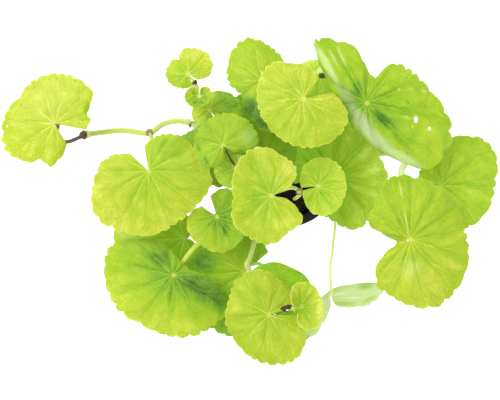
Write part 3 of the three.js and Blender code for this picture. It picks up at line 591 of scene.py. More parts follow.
# %% Leaves at the front
LEAVES["front"] = dict(
    hub=(-8.8, -69.7, 84), notch=(8, 9), teeth=26, lean=(265, 12), cup=-3, ripple=(5, 0.8),
    reach=[10.5, 14.5, 17.5, 22.5, 23, 21, 21.5, 21, 23, 25, 26, 20.5, 12],
    start="front", stalk=[(-5.4, -71.6, 79)], age_and_shade=(5.2, 5.6), sun=(0, 0.3), margin=1.4, relief=1.2,
    scallop=1.2,
    patches=[(258, 290, 13, 17, 0, 1, -0.8), (262, 335, 14, 10, 0, 1, -0.3)])
LEAVES["front_small"] = dict(
    hub=(6.9, -65.2, 94), notch=(222, 12), teeth=16, lean=(20, 10), cup=3, ripple=(3, 0.4),
    reach=[4, 9.5, 12.5, 11, 10, 11, 12, 11, 7, 4.5, 4.5],
    start="front", radius=0.8, bark="yellow", stalk=[(4.5, -66.5, 86)], age_and_shade=(3.9, 6.4), sun=(0, 0.2),
    margin=1.6, spot=0.3, relief=2, veins=7,
    patches=[(319, 309, 19, 4.5, 85, 0.9, 1.2), (305, 322, 5, 9, -20, 0.9, -0.3),
             (306, 295, 5, 8, 25, 0.9, -0.8)])
LEAVES["front_under"] = dict(
    hub=(-0.5, -58.9, 73), notch=(215, 15), teeth=14, lean=(60, 10), cup=-1.5, ripple=(3, 0.5),
    reach=[11, 15, 14, 13.5, 12.5, 12, 16, 19.5, 13],
    start="elbow", radius=0.8, stalk=[(-14, -45.5, 62), (-7, -51, 62)], age_and_shade=(5.2, 4.5), fresh=0.35, veins=7,
    toothless=[(0.2, 0.85)])
# The pale glassy oval over this blade and its white streaks are painted sheen of a blade seen edge-on; the
# leafy streaks let its green show.
LEAVES["hanging"] = dict(
    hub=(23.1, -61.6, 40), notch=(-77, 9), teeth=28, lean=(300, 16), cup=-3, ripple=(2, 0.4),
    reach=[6, 9, 12, 17, 24, 28, 27.5, 26, 25, 24, 23, 22, 22, 22, 22, 23, 24, 25, 26, 27, 27.5, 27.5, 26,
           15, 7],
    fold=(123, 28, 2.5, 92, [-9, -3, 0.8, -3.4, -10]), start=(14.5, -12.5), radius=0.6, bark="yellow",
    hangs=True, stalk=[(19, -16.5, 55.5), (24.3, -21.6, 58), (24, -36.6, 53), (22.9, -50.1, 45)],
    age_and_shade=(5.0, 5.2),
    patches=[(345, 300, 60, 50, 0, 0.1, 0.78, "glassy"), (366, 286, 12, 5.5, 12, 0.8, 0.75, "leafy"),
             (344, 304, 18, 3.4, -2, 0.8, 0.6, "leafy"), (370, 300, 12, 3, 28, 0.9, 0.5, "leafy"),
             (314, 328, 14, 5, 50, 0.9, 0.55, "leafy"), (340, 294, 14, 2.6, 8, 0.8, 0.55, "white"),
             (352, 298, 16, 1.2, -3, 0.7, 0.7, "white"), (322, 301, 9, 5, 50, 0.9, 0.6, "white")])
# Its dark ovals are painted shade under the leaves above, and the light one at its foot is painted sheen.
LEAVES["lower_left"] = dict(
    hub=(-56, -51.1, 68), notch=(54, 0.4), teeth=30, lean=(230, 12), cup=-3, ripple=(5, 1),
    reach=[6.8, 8.5, 11.5, 18.5, 25.5, 34.5, 35.5, 34.5, 33, 30.5, 30.5, 31.5, 32, 32, 32, 19.5, 9.5, 7.5,
           6.8],
    start=(-12.7, -12.7), radius=1.2, bark="olive",
    stalk=[(-18, -17, 56), (-32, -27, 61), (-43.7, -35.3, 63), (-52, -45, 63)], age_and_shade=(2.7, 4.5),
    sun=(235, 2.2), fresh=0.05, relief=1.4, veins=11, toothless=[(0.13, 0.26)],
    patches=[(210, 294, 38, 20, -34, 0.6, -1.8), (226, 303, 13, 9, -34, 0.9, -0.1),
             (158, 256, 22, 14, -10, 1, -1.3), (180, 322, 36, 11, -8, 0.9, 1),
             (204, 264, 20, 12, -30, 0.9, -0.9)])
LEAVES["lower_left_under"] = dict(
    hub=(-51.5, -33.1, 50), notch=(5, 14), teeth=20, lean=(180, 6), cup=-1.5, ripple=(4, 0.6),
    reach=[3, 6.5, 12.5, 22, 32.5, 36.5, 32, 22, 14, 9.5, 3],
    start=(-16.5, -7.5), stalk=[(-23, -11, 55.5), (-36, -22, 55), (-48, -30, 47)], age_and_shade=(4.8, 5.0),
    sun=(200, 1.0), fresh=0.25,
    patches=[(130, 234, 20, 6, 0, 0.9, 0.35, "pale")])
# Its dark oval is painted shade under the leaves above, and its lighter one painted light.
LEAVES["lower_middle"] = dict(
    hub=(-20.9, -49.9, 57), notch=(5, 34), teeth=20, lean=(250, 5), cup=-1.5, ripple=(4, 0.8),
    reach=[15.5, 18, 20, 22.5, 26, 30, 31, 31, 32.5, 33.5, 27, 14, 9],
    start=(-3.6, -17.6), stalk=[(-8, -26, 53.5), (-16, -40, 50.5)], age_and_shade=(4.9, 4.1), sun=(160, 0.8),
    fresh=0.2,
    patches=[(204, 263, 19, 17, 0, 0.8, -2.9), (236, 262, 14, 14, 0, 1, 0.6)])

# %% Leaves deep in the plant
LEAVES["cupped"] = dict(
    hub=(-34.3, -22.1, 76), notch=(126, 18), teeth=20, lean=(250, 8), cup=2, ripple=(4, 0.6),
    reach=[9.5, 14, 16, 16, 17.5, 17, 15.5, 15.5, 15.5, 14.5, 11],
    start=(-9.5, -4.5), stalk=[(-20, -11, 58), (-30, -19, 66)], age_and_shade=(2.9, 5.1), sun=(195, 1.3), fresh=0.05,
    relief=1.6,
    patches=[(225, 231, 6, 12, 0, 0.8, -1.8)])
LEAVES["dark_left"] = dict(
    hub=(-40.5, 6.2, 70), notch=(225, 12), teeth=16, lean=(200, 6), cup=-1, ripple=(4, 0.6),
    reach=[8, 10.5, 16, 18, 16.5, 16.5, 16, 16, 16.5, 12.5, 11],
    start=(-18.8, -3.2), stalk=[(-27, -0.5, 58)], age_and_shade=(3.4, 4.2), sun=(0, 0.6))
LEAVES["dark_middle"] = dict(
    hub=(-12.2, 6.1, 72), notch=(-90, 12), teeth=16, lean=(90, 6), cup=-1.5, ripple=(4, 0.6),
    reach=[12, 13, 14, 17, 20, 21.5, 22, 22.5, 25, 34, 22, 14, 11, 8.5, 7, 7, 8],
    start=(-8, 7.5), stalk=[(-9.5, 6.9, 60)], age_and_shade=(3.9, 4.0), fresh=0.1)

# %% What all leaves share
# fresh: share of painted glow; relief: puff height and painted quilt shade; sun: painted light from one side
PLAIN_LEAF = dict(margin=0.5, spot=0.85, fresh=0.0, relief=1, veins=9, sun=(0, 0), scallop=1, fine=0.24,
                  radius=1.0, bark="fresh", hangs=False, stalk=[], patches=[], lobes=[], toothless=[])
LEAVES = {name: {**PLAIN_LEAF, **leaf} for name, leaf in LEAVES.items()}
print("leaves:", len(LEAVES))

# %% [markdown]
# The surface of a blade
#
# The blade starts as a flat pattern round its hub. Its reach, cup, ripple, fold and lean are the solid's own
# formula, so the fine blade lies inside the plain one. What the solid leaves out is added: rounded scallops
# square to the margin in place of points, rings close together at the margin, and each point's place in the
# pattern, which the veins need.

# %% Blade formula
TOOTH_TIP = 1.026
TOOTH_NOTCH = 0.958
TOOTH_ROUNDNESS = 0.6
COLUMNS_PER_TOOTH = 14
COLUMNS_AT_NOTCH = (0.039, 0.104, 0.234)  # in teeth from either side of the notch
INNER_RINGS = 14
MARGIN_RINGS = (0.955, 0.975, 0.99, 0.997, 1.0)
EDGE_ROUNDING = 0.4
STEP_ASIDE = 0.004


def smooth_at(values, share):
    """Numbers read off a list at shares 0 to 1 of its length, smoothly."""
    values = np.asarray(values, float)
    place = np.asarray(share) * (len(values) - 1)
    i = np.minimum(np.floor(place).astype(int), len(values) - 2)
    t = place - i
    a, b = values[np.maximum(i - 1, 0)], values[i]
    c, d = values[i + 1], values[np.minimum(i + 2, len(values) - 1)]
    return b + 0.5 * t * (c - a + t * (2 * a - 5 * b + 4 * c - d + t * (3 * (b - c) + d - a)))


def smooth_step(low, high, value):
    """0 below low, 1 above high, with a soft rise between."""
    t = np.clip((value - low) / (high - low), 0, 1)
    return t * t * (3 - 2 * t)


def folded(fold, x, y, height):
    """Points of a blade after its fold, down along a line, or up where the degrees are negative."""
    direction, half_length, radius, degrees, edge = fold
    dx, dy = math.cos(math.radians(direction)), math.sin(math.radians(direction))
    along = y * dx - x * dy
    start = smooth_at(edge, np.clip(0.5 + along / (2 * half_length), 0, 1)) - radius
    beyond = x * dx + y * dy - start
    down = math.copysign(1, degrees)
    bent = np.clip(beyond / radius, 0, math.radians(abs(degrees)))
    straight = beyond - bent * radius
    out = start + (radius + down * height) * np.sin(bent) + straight * np.cos(bent)
    drop = radius * (1 - np.cos(bent)) + straight * np.sin(bent)
    past = beyond > 0
    return (np.where(past, out * dx - along * dy, x), np.where(past, out * dy + along * dx, y),
            np.where(past, height * np.cos(bent) - down * drop, height))


def blade_point(leaf, share, out, reach):
    """The places of the blade's middle sheet, in millimetres, at shares round it and out from its hub."""
    turn = leaf["notch"][1] + share * spread_of(leaf)
    angle = np.radians(leaf["notch"][0] + turn)
    along = out * reach
    wave = leaf["ripple"][1] * np.sin(leaf["ripple"][0] * np.radians(turn))
    x, y = along * np.cos(angle), along * np.sin(angle)
    height = (leaf["cup"] + wave) * out * out
    if "fold" in leaf:
        x, y, height = folded(leaf["fold"], x, y, height)
    lean_direction, lean = (math.radians(value) for value in leaf["lean"])
    down = x * math.cos(lean_direction) + y * math.sin(lean_direction)
    hub = leaf["hub"]
    return np.stack([hub[0] + x, hub[1] + y, hub[2] + height - down * math.tan(lean)], -1)


# %% Scallops, lobes and puffs
def scallops(leaf, share):
    """How far the scalloped margin stands out at each share round the blade."""
    phase = leaf["hub"][0] / 7
    wander = 0.35 * np.sin(2 * np.pi * (3 * share + phase)) + 0.2 * np.sin(2 * np.pi * (7 * share - phase))
    place = leaf["teeth"] * share + wander
    lobes = np.abs(np.sin(np.pi * place)) ** TOOTH_ROUNDNESS
    small = np.abs(np.sin(np.pi * (2.5 * place + 0.25))) ** TOOTH_ROUNDNESS
    size = 0.85 + 0.3 * np.sin(2 * np.pi * (5 * share + 2 * phase))
    tooth = TOOTH_NOTCH + (TOOTH_TIP - TOOTH_NOTCH) * ((1 - leaf["fine"]) * lobes + leaf["fine"] * small)
    presence = leaf["scallop"] * size * smooth_step(0.0, 0.06, share) * smooth_step(0.0, 0.06, 1 - share)
    for low, high in leaf["toothless"]:
        inside = smooth_step(low - 0.03, low, share) * (1 - smooth_step(high, high + 0.03, share))
        presence = presence * (1 - inside)
    return 1 + (tooth - 1) * presence


def reach_at(leaf, share):
    """How far the margin stands from the hub at each share round the blade, with its lobes and bites."""
    reach = smooth_at(leaf["reach"], share)
    direction = sum(leaf["notch"]) + share * spread_of(leaf)
    for at, half_width, height in leaf["lobes"]:
        apart = (direction - at + 180) % 360 - 180
        reach = reach + height * np.exp(-(apart / half_width) ** 2)
    return reach


def vein_puff(leaf, share, out, reach):
    """0 on a main vein and 1 in the soft tissue between two."""
    turn = (share - 0.5) * leaf["veins"]
    gap = np.abs(turn - np.round(turn))
    distance = gap * math.radians(spread_of(leaf)) / leaf["veins"] * out * reach
    return smooth_step(0, PUFF_WIDTH, distance) * smooth_step(0, 0.2, out) * (1 - smooth_step(0.8, 1, out))


# %% The sheet of a blade
def blade_sheet(name, leaf):
    """The middle sheet of a blade as a mesh, with the attributes that its skins need."""
    side = np.array(COLUMNS_AT_NOTCH) / leaf["teeth"]
    share = np.linspace(0, 1, leaf["teeth"] * COLUMNS_PER_TOOTH + 1)
    share = np.unique(np.concatenate([share, side, 1 - side]))
    across = len(share)
    rings = np.concatenate([np.linspace(0.035, 0.93, INNER_RINGS), MARGIN_RINGS])
    share, out = (grid.ravel() for grid in np.meshgrid(share, rings))
    reach = reach_at(leaf, share)
    round_it = math.radians(spread_of(leaf))
    before, after = np.maximum(share - STEP_ASIDE, 0), np.minimum(share + STEP_ASIDE, 1)
    slope = reach_at(leaf, after) - reach_at(leaf, before)
    slope = slope / (2 * STEP_ASIDE * round_it)
    square = np.hypot(reach, slope)
    tooth = (scallops(leaf, share) - 1) * reach * smooth_step(0.86, 1, out)
    stretch = 1 + tooth / square
    place = share - tooth * slope / (square * reach * round_it)
    points = blade_point(leaf, place, out * stretch, reach)
    hub = blade_point(leaf, np.array([0.5]), np.array([0.0]), np.array([1.0]))
    turn = (place - 0.5) * round_it
    flat = np.stack([np.cos(turn), np.sin(turn)], -1) * (out * stretch * reach)[:, None] / FLAT_SPAN + 0.5
    to_rim = (1 - out) * reach
    to_side = np.minimum(share, 1 - share) * round_it * out * reach
    near = np.clip(np.minimum(to_rim, to_side) / EDGE_ROUNDING, 0, 1)
    faces = [(0, 1 + i, 2 + i) for i in range(across - 1)]
    for k in range(len(rings) - 1):
        low, high = 1 + k * across, 1 + (k + 1) * across
        faces += [(low + i, high + i, high + i + 1, low + i + 1) for i in range(across - 1)]
    mesh = bpy.data.meshes.new(name + ".sheet")
    mesh.from_pydata(np.concatenate([hub, points]) * MM, [], faces)
    for key, at_hub, values in (("out", 0.0, out), ("edge", 1.0, np.sqrt(1 - (1 - near) ** 2)),
                                ("puff", 0.0, vein_puff(leaf, share, out, reach))):
        layer = mesh.attributes.new(key, "FLOAT", "POINT")
        layer.data.foreach_set("value", np.concatenate([[at_hub], values]).astype(np.float32))
    corner = np.zeros(len(mesh.loops), np.int32)
    mesh.loops.foreach_get("vertex_index", corner)
    pattern = mesh.uv_layers.new(name="flat")
    pattern.data.foreach_set("uv", np.concatenate([[(0.5, 0.5)], flat])[corner].astype(np.float32).ravel())
    return mesh


# %% [markdown]
# Two skins
#
# A real blade has two skins that meet in a soft rounded margin. A Solidify modifier could thicken the sheet,
# but it has one thickness all over. A tree can thin the blade towards its margin and its notch, puff the
# tissue between the veins, add slow waves, and mark which skin is which for the material.

# %% Geometry tree for a blade
MERGE_DISTANCE = 1e-6


def skins_tree():
    """Puffs, waves and thickens a sheet into a closed blade."""
    tree, add, given = new_tree(
        "blade skins", "GeometryNodeTree",
        {"Geometry": "Geometry", "Float": "Thickness, Puff, Wave height, Wave length, Seed",
         "Material": "Tissue"})
    normal = add("InputNormal")
    out, edge, puff = (add("InputNamedAttribute", key, data_type="FLOAT")
                       for key in ("out", "edge", "puff"))
    scale = add("Math.DIVIDE", 1.0, given["Wave length"])
    wave = add("TexNoise", add("InputPosition"), W=given["Seed"], Scale=scale, Detail=1.0,
               noise_dimensions="4D")
    wave = add("MapRange", wave, 0.25, 0.75, -1.0, 1.0)
    for part in (out, given["Wave height"]):
        wave = add("Math.MULTIPLY", wave, part)
    lift = add("Math.MULTIPLY_ADD", puff, given["Puff"], wave)
    lift = add("VectorMath.SCALE", normal, lift)
    sheet = add("SetPosition", given["Geometry"], Offset=lift)
    half = add("Math.MULTIPLY", given["Thickness"], edge)
    skins = []
    for below, share in ((0.0, 0.5), (1.0, -0.5)):
        step = add("Math.MULTIPLY", half, share)
        step = add("VectorMath.SCALE", normal, step)
        skin = add("SetPosition", sheet, Offset=step)
        if below:
            skin = add("FlipFaces", skin)
        skins.append(add("StoreNamedAttribute", skin, Name="rim", Value=add("CombineXYZ", below, out),
                         data_type="FLOAT2", domain="CORNER"))
    join = add("JoinGeometry", skins)
    end_tree(add, add("MergeByDistance", join, Distance=MERGE_DISTANCE), given["Tissue"])
    return tree


# %% Make the blades
BLADE_THICKNESS = 0.4
PUFF_HEIGHT = 0.35
WAVE_HEIGHT = 0.6
WAVE_LENGTH = 13
USUAL_REACH = 30
SKINS = skins_tree()
BLADES = {}
for seed, (name, leaf) in enumerate(LEAVES.items()):
    size = max(leaf["reach"]) / USUAL_REACH
    BLADES[name] = grow("leaf_" + name, blade_sheet(name, leaf), SKINS,
                        {"Thickness": BLADE_THICKNESS * MM, "Puff": PUFF_HEIGHT * MM * size * leaf["relief"],
                         "Wave height": WAVE_HEIGHT * MM * size, "Wave length": WAVE_LENGTH * MM,
                         "Seed": 2.3 * seed, "Tissue": lamina_material(name, leaf, 3.7 * seed + 1)})
print("blades:", sum(len(blade.data.polygons) for blade in BLADES.values()), "faces")

# %% [markdown]
# Holes in the largest blade
#
# Something has eaten two small holes in the largest blade. They go right through, so they are cut by upright
# oval prisms with a boolean, after the blade has its thickness.

# %% Cut the holes
HOLE_SIDES = 20
HOLE_DEPTH = 40


def cut_holes(blade, leaf):
    """Cuts each hole through a blade with an oval prism."""
    sides = bmesh.new()
    for x, y, width, length in leaf["holes"]:
        made = bmesh.ops.create_cone(sides, cap_ends=True, segments=HOLE_SIDES,
                                     radius1=0.5, radius2=0.5, depth=1)
        for vert in made["verts"]:
            vert.co.x = (x + vert.co.x * width) * MM
            vert.co.y = (y + vert.co.y * length) * MM
            vert.co.z = (leaf["hub"][2] + vert.co.z * HOLE_DEPTH) * MM
    cutter_mesh = bpy.data.meshes.new("hole cutter")
    sides.to_mesh(cutter_mesh)
    sides.free()
    cutter = link("hole_cutter", cutter_mesh)
    modifier = blade.modifiers.new("holes", "BOOLEAN")
    modifier.object = cutter
    modifier.operation = "DIFFERENCE"
    modifier.solver = "EXACT"
    pierced = carried_out(blade)
    blade.modifiers.clear()
    blade.data = pierced
    bpy.data.objects.remove(cutter)


before = len(BLADES["largest"].data.polygons)
cut_holes(BLADES["largest"], LEAVES["largest"])
print("largest blade:", before, "->", len(BLADES["largest"].data.polygons), "faces")
for name, blade in BLADES.items():
    finish(blade, "blade_" + name)

# %% [markdown]
# Stalks and stems
#
# A stalk is a round, juicy rod that follows its route in one smooth curve, so a tree turns a curve into a
# tube. The route passes through the same points as the solid's, with the same kind of curve. A stem is
# thicker, and swells at each node, where a leaf stalk leaves it.

# %% Stem records
# Each node has the number of its point on the route and the radius of its swelling.
STEMS = {
    "runner_left": dict(
        radius=1.4, bark="runner", root=(-15, 8.5),
        route=[(-19, 12, 53), (-29, 19.5, 58), (-47, 24.5, 54), (-53, 26.5, 50),
               (-62.5, 25.5, 41), (-70, 21.3, 33), (-86, 23, 18), (-105.4, 21.6, 3.2)],
        nodes={"J3": (2, 2.1), "J2": (5, 2.2), "J1": (7, 2.2)},
        patches=[
            (149.5, 133, 4.6, 5.2, 0, 0.35, 0.9, "bark", 33), (150, 138, 3, 2, 0, 0.6, 0.8, "cream", 33),
            (83, 135, 5, 5.5, 0, 0.35, 0.92, "brown", 3), (89.3, 134.5, 2.2, 5, 0, 0.5, 0.8, "cream", 3),
            (192, 125.5, 4.5, 4.5, 0, 0.5, 0.85, "brown", 54),
            # The long white oval is a painted highlight along the lit top of the runner.
            (160, 130, 20, 1.6, 25, 0.6, 0.5, "white", 45),
        ]),
    "shoot_upper_left": dict(
        radius=0.9, bark="pale",
        route=[(-46.4, 27.4, 55.4), (-44.8, 32, 60), (-43.8, 37.5, 66), (-44.9, 42.3, 71.5),
               (-45.4, 44.9, 75)],
        nodes={"bulb": (3, 1.9), "tip": (4, 1.3)},
        patches=[
            (194.6, 82, 3.4, 2.8, 0, 0.4, 0.9, "brown", 75),
            (196.3, 87.5, 3.6, 3, 0, 0.6, 0.8, "cream", 70),
        ]),
    "runner_front": dict(
        radius=1.2, bark="glassy", root=(-8, -14),
        route=[(-12.5, -23, 55), (-15.6, -33.7, 62), (-18.3, -43.1, 65), (-19.6, -46.2, 65),
               (-18, -49.5, 64), (-12, -59, 64), (-8.4, -64.2, 71), (-4.6, -65.8, 78), (0, -67.2, 79.5)],
        nodes={"elbow": (3, 1.6), "front": (8, 2)},
        patches=[
            (249.8, 269, 4.5, 4, 0, 0.7, 0.7, "cream", 65),
        ]),
    "runner_right": dict(
        radius=1.3, bark="yellow", root=(15.5, 4.5),
        route=[(20, 5.5, 53), (29.6, 7, 60), (47.8, 9.8, 64), (61.1, 8.2, 66)],
        nodes={"mid": (2, 1.8), "right": (3, 2.2)}),
    "shoot_crown": dict(
        radius=0.9, bark="yellow", root=(4.5, -13),
        route=[(5, -12.5, 72), (6, -9.8, 92), (3, -7.8, 95), (-0.8, -8.2, 96)],
        nodes={"crown": (1, 1.9)},
        patches=[
            (299.5, 192, 4.4, 3.7, 0, 0.3, 0.85, "brown", 92),
            (299.5, 192, 3, 2.4, 0, 0.3, 0.9, "cream", 92),
        ]),
}
MEDIUM_TOP = 46.5
ROOT_DEPTH = 3
NODE_DEPTH = 0.4
RISE = 5
SWELLING_HALF = 3
STEPS_PER_PIECE = 14
NODE_PLACES = {name: (np.array(stem["route"][index], float), radius)
               for stem in STEMS.values() for name, (index, radius) in stem["nodes"].items()}


# %% Routes and curves
def smooth_route(points):
    """A smooth curve through the points, of the same kind as the solid's."""
    points = np.asarray(points, float)
    ends = [2 * points[0] - points[1], *points, 2 * points[-1] - points[-2]]
    route = [points[0]]
    for p0, p1, p2, p3 in zip(ends, ends[1:], ends[2:], ends[3:]):
        d0, d1, d2 = (max(math.sqrt(math.dist(a, b)), 1e-4) for a, b in ((p0, p1), (p1, p2), (p2, p3)))
        leave = ((p1 - p0) / d0 - (p2 - p0) / (d0 + d1) + (p2 - p1) / d1) * d1
        arrive = ((p2 - p1) / d1 - (p3 - p1) / (d1 + d2) + (p3 - p2) / d2) * d1
        for t in np.arange(1, STEPS_PER_PIECE + 1) / STEPS_PER_PIECE:
            route.append(p1 + leave * t + (3 * (p2 - p1) - 2 * leave - arrive) * t ** 2
                         + (2 * (p1 - p2) + leave + arrive) * t ** 3)
    return np.array(route)


def route_curve(name, route, radii):
    """A poly curve along a route, with its own radius at each point."""
    curve = bpy.data.curves.new(name, "CURVE")
    curve.dimensions = "3D"
    spline = curve.splines.new("POLY")
    spline.points.add(len(route) - 1)
    spline.points.foreach_set("co", np.hstack([route * MM, np.ones((len(route), 1))]).ravel())
    spline.points.foreach_set("radius", np.asarray(radii, float) * MM)
    return curve


# %% Geometry tree for stalks
UNEVENNESS = 0.06


def stalk_tree():
    """A curve becomes a round stalk with a slightly uneven skin."""
    tree, add, given = new_tree(
        "stalk", "GeometryNodeTree",
        {"Geometry": "Geometry", "Int": "Sides", "Float": "Ring spacing, Unevenness, Seed",
         "Material": "Skin"})
    along = add("SplineParameter")
    rings = add("ResampleCurve", given["Geometry"], Length=given["Ring spacing"], mode="LENGTH")
    section = add("CurvePrimitiveCircle", Resolution=given["Sides"], Radius=1.0)
    side = add("Math.ABSOLUTE", add("Math.SUBTRACT", along, 0.5))
    rings, section = (add("StoreNamedAttribute", curve, Name=key, Value=value,
                          data_type="FLOAT", domain="POINT")
                      for curve, key, value in ((rings, "along", along), (section, "around", side)))
    tube = add("CurveToMesh", rings, section, Scale=add("InputRadius"), Fill_Caps=True)
    around, along = (add("InputNamedAttribute", key, data_type="FLOAT") for key in ("around", "along"))
    tube = add("StoreNamedAttribute", tube, Name="stalk", Value=add("CombineXYZ", around, along),
               data_type="FLOAT2", domain="CORNER")
    lift = add("TexNoise", W=given["Seed"], Scale=0.42 / MM, Detail=1.0, noise_dimensions="4D")
    lift = add("MapRange", lift, 0.0, 1.0, -1.0, 1.0)
    lift = add("Math.MULTIPLY", lift, given["Unevenness"])
    lift = add("VectorMath.SCALE", add("InputNormal"), lift)
    end_tree(add, add("SetPosition", tube, Offset=lift), given["Skin"])
    return tree


STALK = stalk_tree()
print("stalk tree:", len(STALK.nodes), "nodes")

# %% [markdown]
# Skin of the stalks
#
# A stalk is green tissue full of water, so its skin is made as the blade's is, with less light coming
# through, because it is thicker. Fine pale streaks run along it: painted highlights for the light that shows
# at the edges of a clear stalk. Old stalks are brown and corky, and those deep in the plant, out of the
# light, are pale yellow.

# %% Stalk materials
BARKS = {
    "fresh": ("#a3c546", "#bcd65e", "#d6e48c"), "olive": ("#bccf3a", "#c6d748", "#dfe884"),
    "runner": ("#b6cc68", "#b8c444", "#e6e496"), "glassy": ("#bccc62", "#ccdc7c", "#f8facc"),
    "yellow": ("#dcdf6a", "#e6ea88", "#f2f0b0"), "pale": ("#ecf2b0", "#f0f6c0", "#fbfbe2"),
    "brown": ("#50341f", "#8a7434", "#6b4a2c"), "dark": ("#2f2318", "#3c2e1e", "#6a5c4c"),
}
STREAKS_ROUND_HALF = 9.0


def stalk_material(name, bark, patches=(), height=0):
    """Juicy stalk skin that runs from one colour at its foot to the other at its top, with pale streaks of
    painted highlight.
    """
    material, add = new_material(name.replace("_", " "))
    foot, top, pale = (linear(colour) for colour in BARKS[bark])
    split = add("SeparateXYZ", add("UVMap", uv_map="stalk")).outputs
    place = add("TexCoord").outputs["Object"]
    grain = add("TexNoise", place, Scale=0.7 / MM, Detail=3.0)
    shift = add("MapRange", grain, 0.3, 0.7, -0.35, 0.35)
    ramp = add("Math.ADD", split["Y"], shift, use_clamp=True)
    colour = add("Mix", ramp, foot, top, data_type="RGBA")
    # Painted highlights: pale streaks along the stalk in its third colour
    side = add("Math.MULTIPLY", split["X"], STREAKS_ROUND_HALF)
    streak = add("TexNoise", add("CombineXYZ", side, split["Y"]), Scale=1.0, Detail=1.0)
    streak = add("MapRange", streak, 0.42, 0.7, 0.0, 0.55)
    colour = add("Mix", streak, colour, pale, data_type="RGBA")
    colour = lay_patches(add, colour, place, height, patches)
    bump = add("Bump", Height=grain, Strength=0.4, Distance=0.1 * MM)
    juicy_surface(add, colour, bump, 0.42, STALK_IOR, 0.25)
    return material


# %% Make the stems
for seed, (name, stem) in enumerate(STEMS.items()):
    root = []
    if "root" in stem:
        root = [(*stem["root"], z) for z in (MEDIUM_TOP - ROOT_DEPTH, MEDIUM_TOP + RISE)]
    route = smooth_route([*root, *stem["route"]])
    lengths = np.concatenate([[0], np.cumsum(np.linalg.norm(np.diff(route, axis=0), axis=1))])
    radii = np.full(len(route), float(stem["radius"]))
    for index, swollen in stem["nodes"].values():
        far = np.abs(lengths - lengths[(index + len(root)) * STEPS_PER_PIECE])
        bulge = 1 - smooth_step(0, SWELLING_HALF, far)
        radii = np.maximum(radii, stem["radius"] + (swollen - stem["radius"]) * bulge)
    skin = stalk_material("stem skin " + name, stem["bark"], stem.get("patches", []))
    piece = grow("stem_" + name, route_curve(name, route, radii), STALK,
                 {"Sides": 14, "Ring spacing": 0.7 * MM, "Unevenness": UNEVENNESS * MM, "Seed": 5.0 + seed,
                  "Skin": skin})
    finish(piece, name)
print("stems:", len(STEMS))

# %% Make the leaf stalks
FOOT_FLARE = 0.25
TOP_FLARE = 0.15


def petiole_route(leaf):
    """The points of a leaf stalk, from its node or the growing medium up to the blade's hub."""
    hub = np.array(leaf["hub"], float)
    direction, lean = (math.radians(value) for value in leaf["lean"])
    outward = np.array([math.cos(direction), math.sin(direction), 0])
    below = -(math.sin(lean) * outward + math.cos(lean) * np.array([0, 0, 1]))
    below = -below if leaf["hangs"] else below
    via = [np.array(point, float) for point in leaf["stalk"]]
    if isinstance(leaf["start"], str):
        centre, swelling = NODE_PLACES[leaf["start"]]
        toward = (via[0] if via else hub + below * RISE) - centre
        toward = toward / np.linalg.norm(toward)
        first = [centre + toward * NODE_DEPTH, centre + toward * (swelling + RISE / 2)]
    else:
        first = [np.array([*leaf["start"], z]) for z in (MEDIUM_TOP - ROOT_DEPTH, MEDIUM_TOP + RISE)]
    return [*first, *via, hub + below * RISE, hub]


SHARED_SKINS = {}
for seed, (name, leaf) in enumerate(LEAVES.items()):
    bark = leaf["bark"]
    if "stalk_patches" in leaf:
        skin = stalk_material("stalk skin " + name, bark, leaf["stalk_patches"], leaf["hub"][2])
    else:
        skin = SHARED_SKINS.get(bark) or stalk_material(bark + " stalk skin", bark)
        SHARED_SKINS[bark] = skin
    route = smooth_route(petiole_route(leaf))
    along = np.linspace(0, 1, len(route))
    flare = FOOT_FLARE * smooth_step(0.1, 0, along) + TOP_FLARE * smooth_step(0.93, 1, along)
    radii = leaf["radius"] * (1 + flare)
    stalk = grow("stalk_" + name, route_curve(name, route, radii), STALK,
                 {"Sides": 12, "Ring spacing": 0.9 * MM, "Unevenness": UNEVENNESS * MM, "Seed": 11.0 + seed,
                  "Skin": skin})
    finish(stalk, "petiole_" + name)
print("skins shared by stalks:", len(SHARED_SKINS))

# %% [markdown]
# The pot
#
# The pot is a thin injection-moulded cup of black polypropylene with a flat rim. A turned profile gives it
# exactly: the profile has small rounds where the mould has them, and every point of it stays on the solid's
# outline.

# %% Turn the pot
POT_STEPS = 120
POT_PROFILE = [
    (0, 0.8), (16.5, 0.8), (17.3, 0), (18.6, 0), (19.05, 0.35), (24, 45.4), (24.35, 46), (26.9, 46),
    (27.5, 46.6), (27.5, 49.2), (26.8, 50), (23.6, 50), (22.8, 49.3), (22.75, 45.6), (17.9, 1.6),
    (17.3, 1.2), (0, 1.2),
]


def turned(name, profile, steps):
    """A closed body turned round the upright axis from a profile that starts and ends on it."""
    rows = bmesh.new()
    rings = []
    for radius, height in profile:
        angles = np.arange(steps if radius else 1) * 2 * math.pi / steps
        rings.append([rows.verts.new((radius * math.cos(a) * MM, radius * math.sin(a) * MM, height * MM))
                      for a in angles])
    for low, high in zip(rings, rings[1:]):
        for i in range(steps):
            j = (i + 1) % steps
            corners = [low[i % len(low)], low[j % len(low)], high[j % len(high)], high[i % len(high)]]
            rows.faces.new(list(dict.fromkeys(corners)))
    bmesh.ops.recalc_face_normals(rows, faces=rows.faces)
    mesh = bpy.data.meshes.new(name)
    rows.to_mesh(mesh)
    rows.free()
    mesh.shade_smooth()
    return link(name, mesh)


